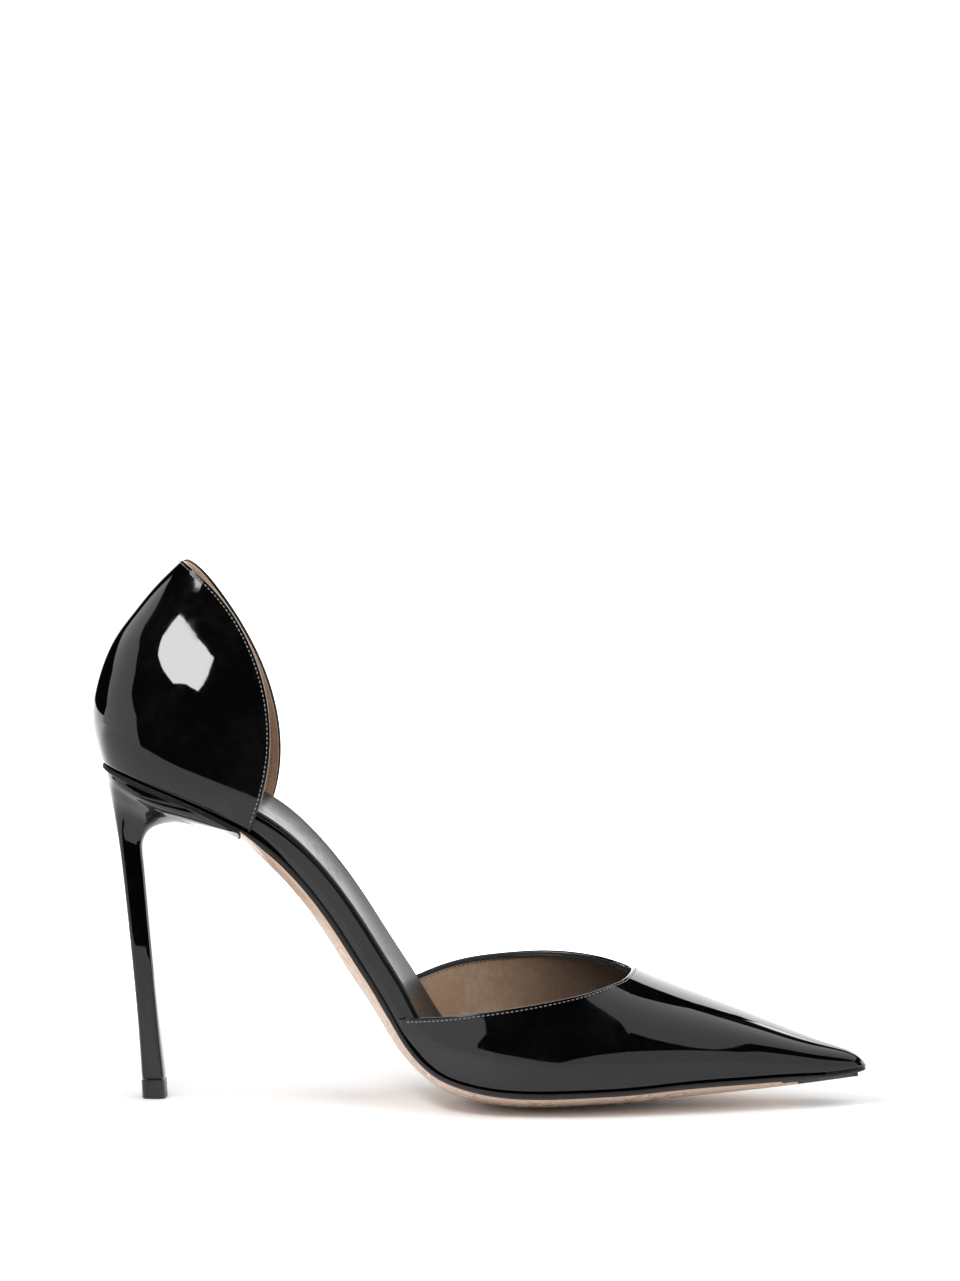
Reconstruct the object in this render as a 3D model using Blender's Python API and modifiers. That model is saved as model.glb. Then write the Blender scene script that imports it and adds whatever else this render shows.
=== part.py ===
"""A pointed court shoe with open sides and a thin high heel, for the right foot.

The shoe points along +X, +Y is its inner side and +Z is up. Sizes are in millimetres, meshes in metres.
All pieces are worked out from one last: a bottom curve with its outline, a ridge over the toes and a cup
round the heel.
"""

import math

import bmesh
import bpy
import numpy as np

MM = 0.001
LATERAL, MEDIAL = -1, 1

# Driving dimensions
TOE_X = 231.0
TOE_Y = 2.5
HEEL_BACK_X = 2.5
SEAT_PITCH_DEG = 24.0
WALL = 1.6
GAP = 0.3
SOLE_THICK_FOREFOOT = 3.5
SOLE_THICK_WAIST = 3.3
SOLE_START_X = 46.9
SOLE_TOE_CLEAR = 0.25
THROAT_X = 161.6
QUARTER_HEIGHT = 64.5
QUARTER_TOP_ALONG = -1.5
QUARTER_REACH = 52.2
BOARD_INSET = WALL + 0.4
BOARD_TOE_X = 219.0
BOARD_SOFT = 0.8
SOCK_INSET = BOARD_INSET + 0.9
SOCK_THICK = 0.9
SOCK_TOE_X = 216.0
SOCK_SOFT = 0.3
HEEL_END_CLEAR = 0.1
HEEL_INSET = 0.8
HEEL_FRONT_X = 46.3
LIFT_HEIGHT = 5.7
LIFT_SPREAD = 1.043
LIFT_LEAN = 0.3

# The last's bottom: height of its centre line, and how far each edge of the bottom curls up from it
BOTTOM_COLUMNS = ("x", "z", "curl_lateral", "curl_medial", "reference_width", "board_thick")
BOTTOM = (
    (2.5, 102.2, 1.2, 1.2, 24.0, 4.6),
    (13.0, 97.6, 1.4, 1.4, 24.8, 4.8),
    (24.0, 92.8, 1.7, 1.7, 25.5, 5.2),
    (34.0, 88.2, 2.0, 2.1, 25.6, 5.8),
    (43.0, 83.3, 2.4, 2.6, 25.0, 6.1),
    (50.0, 78.7, 2.8, 3.2, 24.0, 6.3),
    (57.5, 72.2, 3.2, 3.7, 22.8, 6.3),
    (65.0, 63.7, 3.5, 4.1, 21.8, 6.3),
    (72.0, 54.0, 3.6, 4.3, 21.4, 6.3),
    (80.0, 41.4, 3.7, 4.4, 22.2, 6.3),
    (88.0, 28.6, 3.8, 4.5, 24.4, 6.2),
    (94.0, 18.5, 3.9, 4.6, 26.8, 5.9),
    (100.0, 11.6, 4.1, 4.6, 29.2, 5.3),
    (107.0, 7.1, 4.4, 4.7, 31.8, 4.5),
    (114.0, 5.0, 4.6, 4.7, 34.2, 3.9),
    (122.0, 3.8, 4.7, 4.7, 36.2, 3.4),
    (132.0, 3.4, 4.7, 4.7, 37.4, 3.1),
    (150.0, 4.1, 4.7, 4.7, 36.8, 3.0),
    (163.0, 4.8, 4.6, 4.6, 33.8, 2.9),
    (176.0, 5.8, 4.5, 4.5, 29.0, 2.7),
    (188.0, 6.8, 4.1, 4.1, 24.2, 2.5),
    (200.0, 7.8, 3.4, 3.4, 19.0, 2.2),
    (212.0, 9.0, 2.3, 2.3, 13.4, 2.0),
    (222.0, 10.1, 1.1, 1.1, 10.0, 1.8),
    (231.0, 11.2, 0.0, 0.0, 8.0, 1.6),
)

# Rim of the sole, from its top edge down: how far in from its outline, and the share of its thickness
SOLE_RIM_FOREFOOT = ((0.2, 0.0), (0.0, 0.22), (0.25, 0.4), (1.1, 0.52), (3.0, 0.6))
SOLE_RIM_WAIST = ((0.2, 0.0), (0.0, 0.2), (0.5, 0.45), (2.6, 0.66), (6.0, 0.84))
# Where the waist's rim turns into the forefoot's, and how far in from the upper the rim lies along the shoe
SOLE_BLEND_X = (80.0, 104.0)
SOLE_TUCK_X = (48.0, 60.0, 92.0, 110.0)
SOLE_TUCK = (HEEL_INSET, 1.8, 1.8, 0.0)

# Plan of the last's bottom edge: distance of each side from the middle line
OUTLINE_COLUMNS = ("x", "lateral", "medial")
OUTLINE = (
    (4.0, 9.5, 9.5),
    (8.0, 16.4, 16.4),
    (15.0, 21.4, 21.4),
    (26.0, 24.9, 24.9),
    (40.0, 26.0, 25.6),
    (55.0, 24.3, 22.8),
    (70.0, 22.6, 20.4),
    (85.0, 24.8, 21.8),
    (100.0, 30.0, 27.8),
    (115.0, 34.9, 34.0),
    (130.0, 37.0, 37.8),
    (145.0, 36.0, 38.6),
    (160.0, 32.6, 36.2),
    (175.0, 27.6, 31.4),
    (190.0, 21.6, 25.6),
    (205.0, 14.8, 18.9),
    (218.0, 8.2, 12.6),
    (226.0, 3.6, 8.5),
    (229.6, 0.4, 5.5),
)

# The last's top line over the toes and, behind the throat, over the instep that shapes the wings
RIDGE_COLUMNS = ("x", "z")
RIDGE = (
    (80.0, 98.0),
    (105.0, 79.0),
    (120.0, 67.0),
    (135.0, 55.5),
    (150.0, 45.6),
    (161.6, 39.4),
    (175.7, 33.7),
    (190.0, 28.5),
    (205.5, 22.7),
    (217.4, 18.5),
    (224.5, 16.3),
    (228.0, 14.8),
    (230.2, 13.0),
)

# Cross sections of the vamp: where the ridge lies, how far the wall leans out, and how full the curve is
SECTION_COLUMNS = ("x", "ridge_y", "lean_deg", "rise_share", "fullness")
SECTIONS = (
    (85.0, 4.0, 6.0, 0.42, 0.70),
    (110.0, 5.0, 7.0, 0.48, 0.70),
    (135.0, 5.0, 8.5, 0.52, 0.71),
    (161.6, 4.6, 13.5, 0.62, 0.74),
    (190.0, 3.8, 15.0, 0.69, 0.76),
    (215.0, 3.0, 14.0, 0.71, 0.76),
    (231.0, 2.5, 6.0, 0.60, 0.60),
)

# Collar of the vamp, seen from each side
COLLAR_COLUMNS = ("x", "z")
COLLAR_LATERAL = (
    (86.0, 26.9),
    (92.3, 27.4),
    (106.0, 28.8),
    (118.0, 30.6),
    (133.0, 32.9),
    (144.0, 34.8),
    (151.0, 36.2),
    (157.0, 37.7),
    (160.4, 38.7),
    (161.6, 39.4),
)
COLLAR_MEDIAL = (
    (86.0, 30.4),
    (92.5, 33.1),
    (101.7, 36.7),
    (110.0, 38.8),
    (120.0, 40.1),
    (133.6, 41.2),
    (145.0, 41.0),
    (153.0, 40.1),
    (158.0, 38.9),
    (160.4, 38.6),
    (161.6, 39.4),
)

# The heel cup: how far its wall stands out from the bottom edge, at the back and at the sides
CUP_COLUMNS = ("height", "back_out", "side_out")
CUP = (
    (-4.0, -4.0, -0.9),
    (0.0, 0.0, 0.0),
    (4.0, 3.4, 0.8),
    (9.0, 6.8, 1.2),
    (15.0, 9.3, 0.9),
    (22.0, 10.8, -0.1),
    (29.0, 11.4, -1.6),
    (37.0, 10.9, -3.8),
    (45.0, 9.0, -6.5),
    (55.0, 6.1, -10.6),
    (65.0, 2.0, -15.4),
)
# How the back of the cup turns into its sides
CUP_BLEND_POWER, CUP_SOFTNESS = 1.3, 0.4
# Powers of the topline's oval on each side: along the shoe, and up
TOPLINE_POWERS = {LATERAL: (1.6, 2.25), MEDIAL: (1.18, 2.1)}

# The heel below its seat: the ends of each level on the middle plane, and its half width
HEEL_COLUMNS = ("back_x", "back_z", "front_x", "front_z", "half_width")
HEEL_LEVELS = (
    (3.9, 99.0, 39.5, 80.9, 21.6),
    (4.3, 96.6, 34.5, 81.8, 18.4),
    (4.9, 93.4, 28.4, 82.8, 15.0),
    (5.8, 89.0, 21.8, 82.6, 11.0),
    (6.8, 83.8, 17.2, 80.6, 8.4),
    (7.8, 77.4, 15.3, 76.6, 6.1),
    (8.7, 70.0, 15.6, 70.0, 5.05),
    (10.2, 56.0, 16.8, 56.0, 4.7),
    (11.9, 39.0, 18.3, 39.0, 4.45),
    (13.5, 21.0, 19.9, 21.0, 4.25),
    (14.5, 6.0, 21.4, 6.0, 4.3),
)
# How square the levels are: under the seat, and from the stem's first level down
SEAT_SQUARENESS, STEM_SQUARENESS = 0.9, 0.72
STEM_LEVEL = 5
# The front of the heel's seat, as shares of the corner's depth and of the seat's half width
SEAT_CORNER = 1.6
SEAT_FRONT = ((0.6, 0.99), (0.95, 0.9), (1.0, 0.66), (1.0, 0.33))
SEAT_RIM_THICK = 1.5
SEAT_RIM_BLEND_X = 30.0
SEAT_HALF = 23.0
SEAT_SPREADS = (0.0, 0.3, 0.55, 0.75, 0.9, 1.0)

# How finely the last's lines are sampled, and the limits of the searches on them
OUTLINE_SAMPLES, RIDGE_SAMPLES = 6000, 1600
SLOPE_STEP = 0.05
WING_SEARCH_X = (80.0, 100.0)
QUARTER_SEARCH_X = 60.0
QUARTER_SEARCH_FROM = 5.0
QUARTER_LEAST = 0.05
TOPLINE_CLEAR = 4.0

# How finely the pieces are cut into faces
BOTTOM_STATIONS = 44
STATION_CLEAR = 0.8
STATION_EVENNESS = 0.62
ACROSS = (-0.85, -0.65, -0.36, 0.0, 0.36, 0.65, 0.85)
VAMP_ROWS_WING, VAMP_ROWS_TOE, VAMP_COLUMNS = 16, 13, 7
VAMP_CROWDING = 1.7
QUARTER_COLUMNS, QUARTER_ROWS = 17, 11
QUARTER_CROWDING = 1.4
HEEL_AROUND, HEEL_DOWN = 26, 16
MERGE_REACH = 0.00001
SHARP_DEG = 40.0

# Finishes: base colour, roughness
PATENT = ("black_patent", (0.006, 0.006, 0.007, 1.0), 0.06)
SMOOTH = ("black_smooth_leather", (0.025, 0.024, 0.024, 1.0), 0.32)
SOLE_LEATHER = ("tan_sole_leather", (0.56, 0.36, 0.24, 1.0), 0.35)
LIFT_PLASTIC = ("black_lift_plastic", (0.012, 0.012, 0.012, 1.0), 0.4)


def column(table, names, name):
    return np.array([row[names.index(name)] for row in table], float)


def smooth_curve(knots, values):
    """The natural cubic curve through the values at the knots, as a function."""
    knots = np.asarray(knots, float)
    values = np.asarray(values, float)
    count = len(knots)
    step = np.diff(knots)
    system = np.eye(count)
    right = np.zeros(count)
    for i in range(1, count - 1):
        system[i, i - 1 : i + 2] = step[i - 1], 2 * (step[i - 1] + step[i]), step[i]
        right[i] = 6 * ((values[i + 1] - values[i]) / step[i] - (values[i] - values[i - 1]) / step[i - 1])
    bend = np.linalg.solve(system, right)

    def at(t):
        i = np.clip(np.searchsorted(knots, t) - 1, 0, count - 2)
        near, far = (knots[i + 1] - t) / step[i], (t - knots[i]) / step[i]
        cubic = (near**3 - near) * bend[i] + (far**3 - far) * bend[i + 1]
        return near * values[i] + far * values[i + 1] + cubic * step[i] ** 2 / 6

    return at


def table_curve(table, names, along, name):
    return smooth_curve(column(table, names, along), column(table, names, name))


def dense_curve(points, samples):
    """Many points on the smooth curve through a few plane points."""
    points = np.asarray(points, float)
    reach = np.concatenate([[0.0], np.cumsum(np.linalg.norm(np.diff(points, axis=0), axis=1))])
    t = np.linspace(0.0, reach[-1], samples)
    return np.stack([smooth_curve(reach, points[:, k])(t) for k in (0, 1)], axis=1)


class Last:
    """The shape that the shoe is built on."""

    def __init__(self):
        self.bottom = {n: table_curve(BOTTOM, BOTTOM_COLUMNS, "x", n) for n in BOTTOM_COLUMNS[1:]}
        self.section = {n: table_curve(SECTIONS, SECTION_COLUMNS, "x", n) for n in SECTION_COLUMNS[1:]}
        self.collar = {
            LATERAL: table_curve(COLLAR_LATERAL, COLLAR_COLUMNS, "x", "z"),
            MEDIAL: table_curve(COLLAR_MEDIAL, COLLAR_COLUMNS, "x", "z"),
        }
        self.cup = {n: table_curve(CUP, CUP_COLUMNS, "height", n) for n in CUP_COLUMNS[1:]}
        self.edge = self.closed_outline()
        self.halves = {}
        tip = (TOE_X, float(self.bottom["z"](TOE_X)))
        mirrored = [(x, 2 * tip[1] - z) for x, z in RIDGE[:-3:-1]]
        ridge = dense_curve([*RIDGE, tip, *mirrored], RIDGE_SAMPLES)
        self.ridge_line = ridge[: np.argmax(ridge[:, 0]) + 1]

    def closed_outline(self):
        """The bottom edge in plan, from the heel's back round the lateral side and the toe."""
        x, lateral, medial = (column(OUTLINE, OUTLINE_COLUMNS, n) for n in OUTLINE_COLUMNS)
        heel = np.array([[HEEL_BACK_X, 0.0]])
        toe = np.array([[TOE_X, TOE_Y]])
        loop = np.concatenate([heel, np.stack([x, -lateral], 1), toe, np.stack([x, medial], 1)[::-1]])
        wrap = 4
        points = np.concatenate([loop[-wrap:], loop, loop[:wrap + 1]])
        dense = dense_curve(points, OUTLINE_SAMPLES)
        middle = OUTLINE_SAMPLES // 2
        start = np.argmin(np.linalg.norm(dense[:middle] - heel, axis=1))
        end = middle + np.argmin(np.linalg.norm(dense[middle:] - heel, axis=1))
        return dense[start:end]

    def half_outline(self, side, inset=0.0):
        """(x, y) of one side of the bottom edge, moved inwards by inset, from the heel to the toe."""
        key = (side, round(inset, 3))
        if key not in self.halves:
            along = np.gradient(self.edge, axis=0)
            along /= np.linalg.norm(along, axis=1)[:, None]
            moved = self.edge + np.stack([-along[:, 1], along[:, 0]], axis=1) * inset
            toe = np.argmax(moved[:, 0])
            self.halves[key] = moved[: toe + 1] if side == LATERAL else moved[toe:][::-1]
        return self.halves[key]

    def edge_y(self, side, x, inset=0.0):
        half = self.half_outline(side, inset)
        return float(np.interp(x, half[:, 0], half[:, 1]))

    def normal(self, x):
        slope = (self.bottom["z"](x + SLOPE_STEP) - self.bottom["z"](x - SLOPE_STEP)) / (2 * SLOPE_STEP)
        size = math.hypot(1.0, slope)
        return -slope / size, 1.0 / size

    def point(self, x, y, height):
        """The point at that height over the bottom, square to its centre line, at station x."""
        curl = self.bottom["curl_lateral" if y < 0 else "curl_medial"](x)
        height = height + curl * (abs(y) / self.bottom["reference_width"](x)) ** 3
        nx, nz = self.normal(x)
        return np.array([x + nx * height, y, self.bottom["z"](x) + nz * height])

    def edge_point(self, side, x):
        return self.point(x, self.edge_y(side, x), 0.0)

    def ridge_point(self, x):
        height = np.interp(x, self.ridge_line[:, 0], self.ridge_line[:, 1])
        return np.array([x, float(self.section["ridge_y"](x)), height])

    def vamp_point(self, side, x, share):
        """The vamp's outside at a station: share runs from 0 at the bottom edge to 1 at the ridge."""
        foot, top = self.edge_point(side, x), self.ridge_point(x)
        lean = math.radians(self.section["lean_deg"](x))
        rise = self.section["rise_share"](x) * (top[2] - foot[2])
        low = foot + np.array([0.0, side * math.sin(lean), math.cos(lean)]) * rise
        high = top + np.array([0.0, self.section["fullness"](x) * (foot[1] - top[1]), 0.0])
        a, b = 1.0 - share, share
        return a**3 * foot + 3 * a * a * b * low + 3 * a * b * b * high + b**3 * top

    def collar_share(self, side, x):
        """The share at which the vamp reaches its collar."""
        if x >= THROAT_X:
            return 1.0

        def over(share):
            at = self.vamp_point(side, x, share)
            return at[2] - self.collar[side](at[0])

        return zero_of(over, 0.0, 1.0)

    def wing_start(self, side):
        """The station where the collar leaves the bottom edge."""

        def over(x):
            at = self.edge_point(side, x)
            return self.collar[side](at[0]) - at[2]

        return zero_of(over, *WING_SEARCH_X)

    def quarter_point(self, place, direction, height):
        """The heel cup's outside above a place on the bottom edge; direction points out in plan."""
        most = math.hypot(1.0, CUP_SOFTNESS) + 1.0
        back = ((math.hypot(direction[0], CUP_SOFTNESS) - direction[0]) / most) ** CUP_BLEND_POWER
        out = self.cup["back_out"](height) * back + self.cup["side_out"](height) * (1.0 - back)
        pitch = math.radians(SEAT_PITCH_DEG)
        foot = self.point(place[0], place[1], 0.0)
        along = direction[0] * out
        rise = np.array([math.sin(pitch), 0.0, math.cos(pitch)]) * height
        reach = np.array([along * math.cos(pitch), direction[1] * out, -along * math.sin(pitch)])
        return foot + rise + reach

    def seat_place(self, at):
        """(distance from the seat's back, height over the seat) of a point near the heel."""
        pitch = math.radians(SEAT_PITCH_DEG)
        dx, dz = at[0] - HEEL_BACK_X, at[2] - self.bottom["z"](HEEL_BACK_X)
        return dx * math.cos(pitch) - dz * math.sin(pitch), dx * math.sin(pitch) + dz * math.cos(pitch)

    def topline_height(self, place, direction):
        """How far the heel cup's wall rises above a place on the bottom edge."""
        side = LATERAL if place[1] < 0 else MEDIAL
        power_along, power_up = TOPLINE_POWERS[side]

        def over(height):
            along, up = self.seat_place(self.quarter_point(place, direction, height))
            share = np.clip((along - QUARTER_TOP_ALONG) / QUARTER_REACH, 0.0, 1.0)
            return up - QUARTER_HEIGHT * (1.0 - share**power_along) ** (1.0 / power_up)

        return zero_of(over, 0.0, QUARTER_HEIGHT + TOPLINE_CLEAR)


def zero_of(function, low, high, steps=40):
    """Where a rising function crosses zero, or the nearer end if it doesn't."""
    for _ in range(steps):
        middle = 0.5 * (low + high)
        if function(middle) < 0:
            low = middle
        else:
            high = middle
    return 0.5 * (low + high)


def mapped_grid(mesh, columns, rows, place):
    """Adds a grid whose corners (u, v), each from 0 to 1, are moved to place(u, v), in millimetres."""
    made = bmesh.ops.create_grid(mesh, x_segments=columns, y_segments=rows, size=0.5)
    for vertex in made["verts"]:
        u, v = vertex.co.x + 0.5, vertex.co.y + 0.5
        vertex.co = [float(c) * MM for c in place(u, v)]


def finish_object(name, mesh, finish, collection):
    bmesh.ops.remove_doubles(mesh, verts=mesh.verts, dist=MERGE_REACH)
    bmesh.ops.dissolve_degenerate(mesh, edges=mesh.edges, dist=MERGE_REACH)
    data = bpy.data.meshes.new(name)
    mesh.to_mesh(data)
    mesh.free()
    data.shade_smooth()
    data.set_sharp_from_angle(angle=math.radians(SHARP_DEG))
    data.materials.append(material(*finish))
    made = bpy.data.objects.new(name, data)
    collection.objects.link(made)
    return made


def material(name, colour, roughness):
    made = bpy.data.materials.get(name)
    if made is None:
        made = bpy.data.materials.new(name)
        made.use_nodes = True
        shader = made.node_tree.nodes["Principled BSDF"]
        shader.inputs["Base Color"].default_value = colour
        shader.inputs["Roughness"].default_value = roughness
    return made


def bottom_stations(start, end):
    """Stations of a layer along the shoe, shared by all layers and closer at the heel and the toe."""
    turn = np.linspace(0.0, math.pi, BOTTOM_STATIONS + 1)
    even = np.linspace(0.0, 1.0, BOTTOM_STATIONS + 1)
    share = STATION_EVENNESS * even + (1.0 - STATION_EVENNESS) * 0.5 * (1.0 - np.cos(turn))
    shared = HEEL_BACK_X + (TOE_X - HEEL_BACK_X) * share
    between = shared[(shared > start + STATION_CLEAR) & (shared < end - STATION_CLEAR)]
    return np.concatenate([[start], between, [end]])


def layer_solid(last, start, end, corners, round_heel, round_toe):
    """A closed layer along the bottom: corners(x) gives its cross section as (across, inset, height), from
    the lateral edge of the top round to the lateral edge of the bottom, where across runs from -1 to 1
    between the edges. A round end closes to an upright line, the other kind is cut square."""
    stations = bottom_stations(start, end)

    def ring(x, spread):
        rim = []
        for across, inset, height in corners(x):
            inside = min(max(x, HEEL_BACK_X + inset), TOE_X - inset)
            lateral, medial = (last.edge_y(side, inside, inset) for side in (LATERAL, MEDIAL))
            y = 0.5 * (lateral + medial) + across * spread * 0.5 * (medial - lateral)
            rim.append(last.point(inside, y, height))
        return np.array(rim)

    spreads = np.ones(len(stations))
    if round_heel:
        spreads[0] = 0.0
    if round_toe:
        spreads[-1] = 0.0
    rings = [ring(x, spread) for x, spread in zip(stations, spreads)]
    if spreads[0]:
        rings.insert(0, np.repeat(rings[0].mean(0)[None], len(rings[0]), 0))
    if spreads[-1]:
        rings.append(np.repeat(rings[-1].mean(0)[None], len(rings[-1]), 0))
    around, along = len(rings[0]), len(rings) - 1
    mesh = bmesh.new()
    mapped_grid(mesh, around, along, lambda u, v: rings[round(v * along)][round(u * around) % around])
    return mesh


def outsole_corners(x):
    """The sole: a top that follows the upper, an upright edge, and a bottom fullest along its middle."""
    front = float(np.interp(x, SOLE_BLEND_X, (0.0, 1.0)))
    thick = SOLE_THICK_WAIST + (SOLE_THICK_FOREFOOT - SOLE_THICK_WAIST) * front
    tuck = float(np.interp(x, SOLE_TUCK_X, SOLE_TUCK))
    rim = np.array(SOLE_RIM_WAIST) * (1.0 - front) + np.array(SOLE_RIM_FOREFOOT) * front
    reach, depth = rim[-1]

    def under(across):
        return -GAP - thick * (1.0 - (1.0 - depth) * across * across)

    top = [(across, tuck + rim[0][0], -GAP) for across in ACROSS]
    medial = [(1.0, tuck + inset, -GAP - thick * down) for inset, down in rim]
    bottom = [(across, tuck + reach, under(across)) for across in ACROSS[::-1]]
    lateral = [(-1.0, tuck + inset, -GAP - thick * down) for inset, down in rim[::-1]]
    return [*top, *medial, *bottom, *lateral]


def sheet_corners(inset, low, high, soft):
    """A layer of even thickness with softened upper edges."""
    top = [(-1.0, inset, high - soft), (-1.0, inset + soft, high)]
    top += [(across, inset + soft, high) for across in ACROSS]
    top += [(1.0, inset + soft, high), (1.0, inset, high - soft)]
    return [*top, (1.0, inset, low), *[(across, inset, low) for across in ACROSS[::-1]], (-1.0, inset, low)]


def make_outsole(last, collection):
    mesh = layer_solid(last, SOLE_START_X, TOE_X - SOLE_TOE_CLEAR, outsole_corners, False, True)
    for vertex in mesh.verts:
        vertex.co.z = max(vertex.co.z, 0.0)
    return finish_object("outsole", mesh, SOLE_LEATHER, collection)


def make_insole_board(last, collection):
    def corners(x):
        return sheet_corners(BOARD_INSET, 0.0, float(last.bottom["board_thick"](x)), BOARD_SOFT)

    mesh = layer_solid(last, HEEL_BACK_X + BOARD_INSET + HEEL_END_CLEAR, BOARD_TOE_X, corners, True, False)
    return finish_object("insole_board", mesh, PATENT, collection)


def make_sock(last, collection):
    def corners(x):
        low = float(last.bottom["board_thick"](x)) + GAP
        return sheet_corners(SOCK_INSET, low, low + SOCK_THICK, SOCK_SOFT)

    mesh = layer_solid(last, HEEL_BACK_X + SOCK_INSET + HEEL_END_CLEAR, SOCK_TOE_X, corners, True, False)
    return finish_object("sock", mesh, SMOOTH, collection)


def vamp_stations(start):
    """Stations of the vamp from a wing's corner to the toe, closer at the throat and at the toe."""
    back = 1.0 - np.linspace(0.0, 1.0, VAMP_ROWS_WING + 1)
    wing = THROAT_X - (THROAT_X - start) * back**VAMP_CROWDING
    front = 1.0 - np.linspace(0.0, 1.0, VAMP_ROWS_TOE + 1)[1:]
    return np.concatenate([wing, TOE_X - (TOE_X - THROAT_X) * front**VAMP_CROWDING])


def make_vamp(last, collection):
    mesh = bmesh.new()
    for side in (LATERAL, MEDIAL):
        stations = vamp_stations(last.wing_start(side))
        tops = [last.collar_share(side, x) for x in stations]
        tops[0] = 0.0
        rows = len(stations) - 1

        def place(u, v):
            row = round(v * rows)
            rise = 1.0 - u if side == LATERAL else u
            return last.vamp_point(side, stations[row], rise * tops[row])

        mapped_grid(mesh, VAMP_COLUMNS, rows, place)
    made = finish_object("vamp", mesh, PATENT, collection)
    thicken(made)
    return made


def make_quarter(last, collection):
    reach = quarter_path(last)
    mesh = bmesh.new()

    def place(u, v):
        spot, direction, top = reach[round((1.0 - u) * (len(reach) - 1))]
        return last.quarter_point(spot, direction, top * v)

    mapped_grid(mesh, len(reach) - 1, QUARTER_ROWS, place)
    made = finish_object("quarter", mesh, PATENT, collection)
    thicken(made)
    return made


def quarter_path(last):
    """Places round the heel's bottom edge from the lateral front corner to the medial one, each with the
    direction out of the shoe in plan and the wall's height there."""
    path = []
    for side in (LATERAL, MEDIAL):
        half = last.half_outline(side)
        half = half[half[:, 0] < QUARTER_SEARCH_X]
        along = np.gradient(half, axis=0)
        along /= np.linalg.norm(along, axis=1)[:, None]
        outward = np.stack([along[:, 1], -along[:, 0]], axis=1) * -side
        reach = np.concatenate([[0.0], np.cumsum(np.linalg.norm(np.diff(half, axis=0), axis=1))])

        def at(distance):
            place = np.array([np.interp(distance, reach, half[:, k]) for k in (0, 1)])
            direction = np.array([np.interp(distance, reach, outward[:, k]) for k in (0, 1)])
            return place, direction / np.linalg.norm(direction)

        def sunk(distance):
            return QUARTER_LEAST - last.topline_height(*at(distance))

        front = zero_of(sunk, QUARTER_SEARCH_FROM, reach[-1])
        share = 1.0 - (1.0 - np.linspace(0.0, 1.0, QUARTER_COLUMNS + 1)) ** QUARTER_CROWDING
        branch = [(*at(distance), last.topline_height(*at(distance))) for distance in front * share]
        branch[-1] = (*branch[-1][:2], 0.0)
        path = branch[::-1] if side == LATERAL else [*path, *branch[1:]]
    return path


def thicken(shell):
    """Gives an open shell its wall, inwards from the modelled surface."""
    wall = shell.modifiers.new("wall", "SOLIDIFY")
    wall.thickness = WALL * MM
    wall.offset = -1.0
    wall.use_rim = True


def seat_ring(last):
    """The heel's upper edge: round the back and straight across behind the sole, as (x, y)."""
    back, front = HEEL_BACK_X + HEEL_INSET, HEEL_FRONT_X
    corner = front - SEAT_CORNER
    halves = []
    for side in (LATERAL, MEDIAL):
        turns = np.linspace(0.0, math.pi / 2, HEEL_AROUND // 2 - len(SEAT_FRONT))[1:]
        xs = back + (corner - back) * (1.0 - np.cos(turns))
        half = [(x, last.edge_y(side, x, HEEL_INSET)) for x in xs]
        corner_y = last.edge_y(side, corner, HEEL_INSET)
        half += [(corner + SEAT_CORNER * reach, corner_y * share) for reach, share in SEAT_FRONT]
        halves.append(half)
    lateral, medial = halves
    return np.array([(back, 0.0), *lateral, (front, 0.0), *medial[::-1]])


def seat_rim(x, y):
    """Thickness of the heel's upper rim, which grows to the sole's own thickness where they meet."""
    front = float(np.interp(x, (SEAT_RIM_BLEND_X, HEEL_FRONT_X), (0.0, 1.0)))
    middle = 1.0 - min(1.0, abs(y) / SEAT_HALF) ** 2
    return SEAT_RIM_THICK + (SOLE_THICK_WAIST - SEAT_RIM_THICK) * front * middle


def heel_level(level, squareness):
    """A level of the heel as a ring of points: level counts rows of the table and may lie between them."""
    rows = np.arange(len(HEEL_LEVELS))
    back_x, back_z, front_x, front_z, half = (
        float(smooth_curve(rows, column(HEEL_LEVELS, HEEL_COLUMNS, n))(level)) for n in HEEL_COLUMNS
    )
    ring = []
    for turn in np.linspace(0.0, 2 * math.pi, HEEL_AROUND, endpoint=False):
        cosine, sine = math.cos(turn), math.sin(turn)
        along = 0.5 * (1.0 - math.copysign(abs(cosine) ** squareness, cosine))
        across = -math.copysign(abs(sine) ** squareness, sine)
        x = back_x + (front_x - back_x) * along
        z = back_z + (front_z - back_z) * along
        ring.append((x, half * across, z))
    return np.array(ring)


def make_heel(last, collection):
    plan = seat_ring(last)
    middle = np.array([0.5 * (HEEL_BACK_X + HEEL_FRONT_X), 0.0])
    rings = []
    for share in SEAT_SPREADS:
        spread = middle + (plan - middle) * share
        rings.append(np.array([last.point(x, y, -GAP) for x, y in spread]))
    rings.append(np.array([last.point(x, y, -GAP - seat_rim(x, y)) for x, y in plan]))
    last_row = len(HEEL_LEVELS) - 1
    for level in np.linspace(0.0, last_row, HEEL_DOWN):
        squareness = np.interp(level, (0, STEM_LEVEL), (SEAT_SQUARENESS, STEM_SQUARENESS))
        rings.append(heel_level(level, squareness))
    foot = rings[-1].copy()
    rings.append(np.repeat(foot.mean(0)[None], HEEL_AROUND, 0))
    return ring_stack("heel", rings, PATENT, collection)


def make_top_lift(collection):
    foot = heel_level(len(HEEL_LEVELS) - 1, STEM_SQUARENESS)
    middle = foot.mean(0)
    spread = middle + (foot - middle) * LIFT_SPREAD
    rings = []
    for share, height in ((0.0, LIFT_HEIGHT), (1.0, LIFT_HEIGHT), (1.0, 0.0), (0.0, 0.0)):
        ring = middle + (spread - middle) * share
        ring[:, 0] += np.interp(height, (0.0, LIFT_HEIGHT), (LIFT_LEAN, 0.0))
        ring[:, 2] = height
        rings.append(ring)
    return ring_stack("top_lift", rings, LIFT_PLASTIC, collection)


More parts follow.
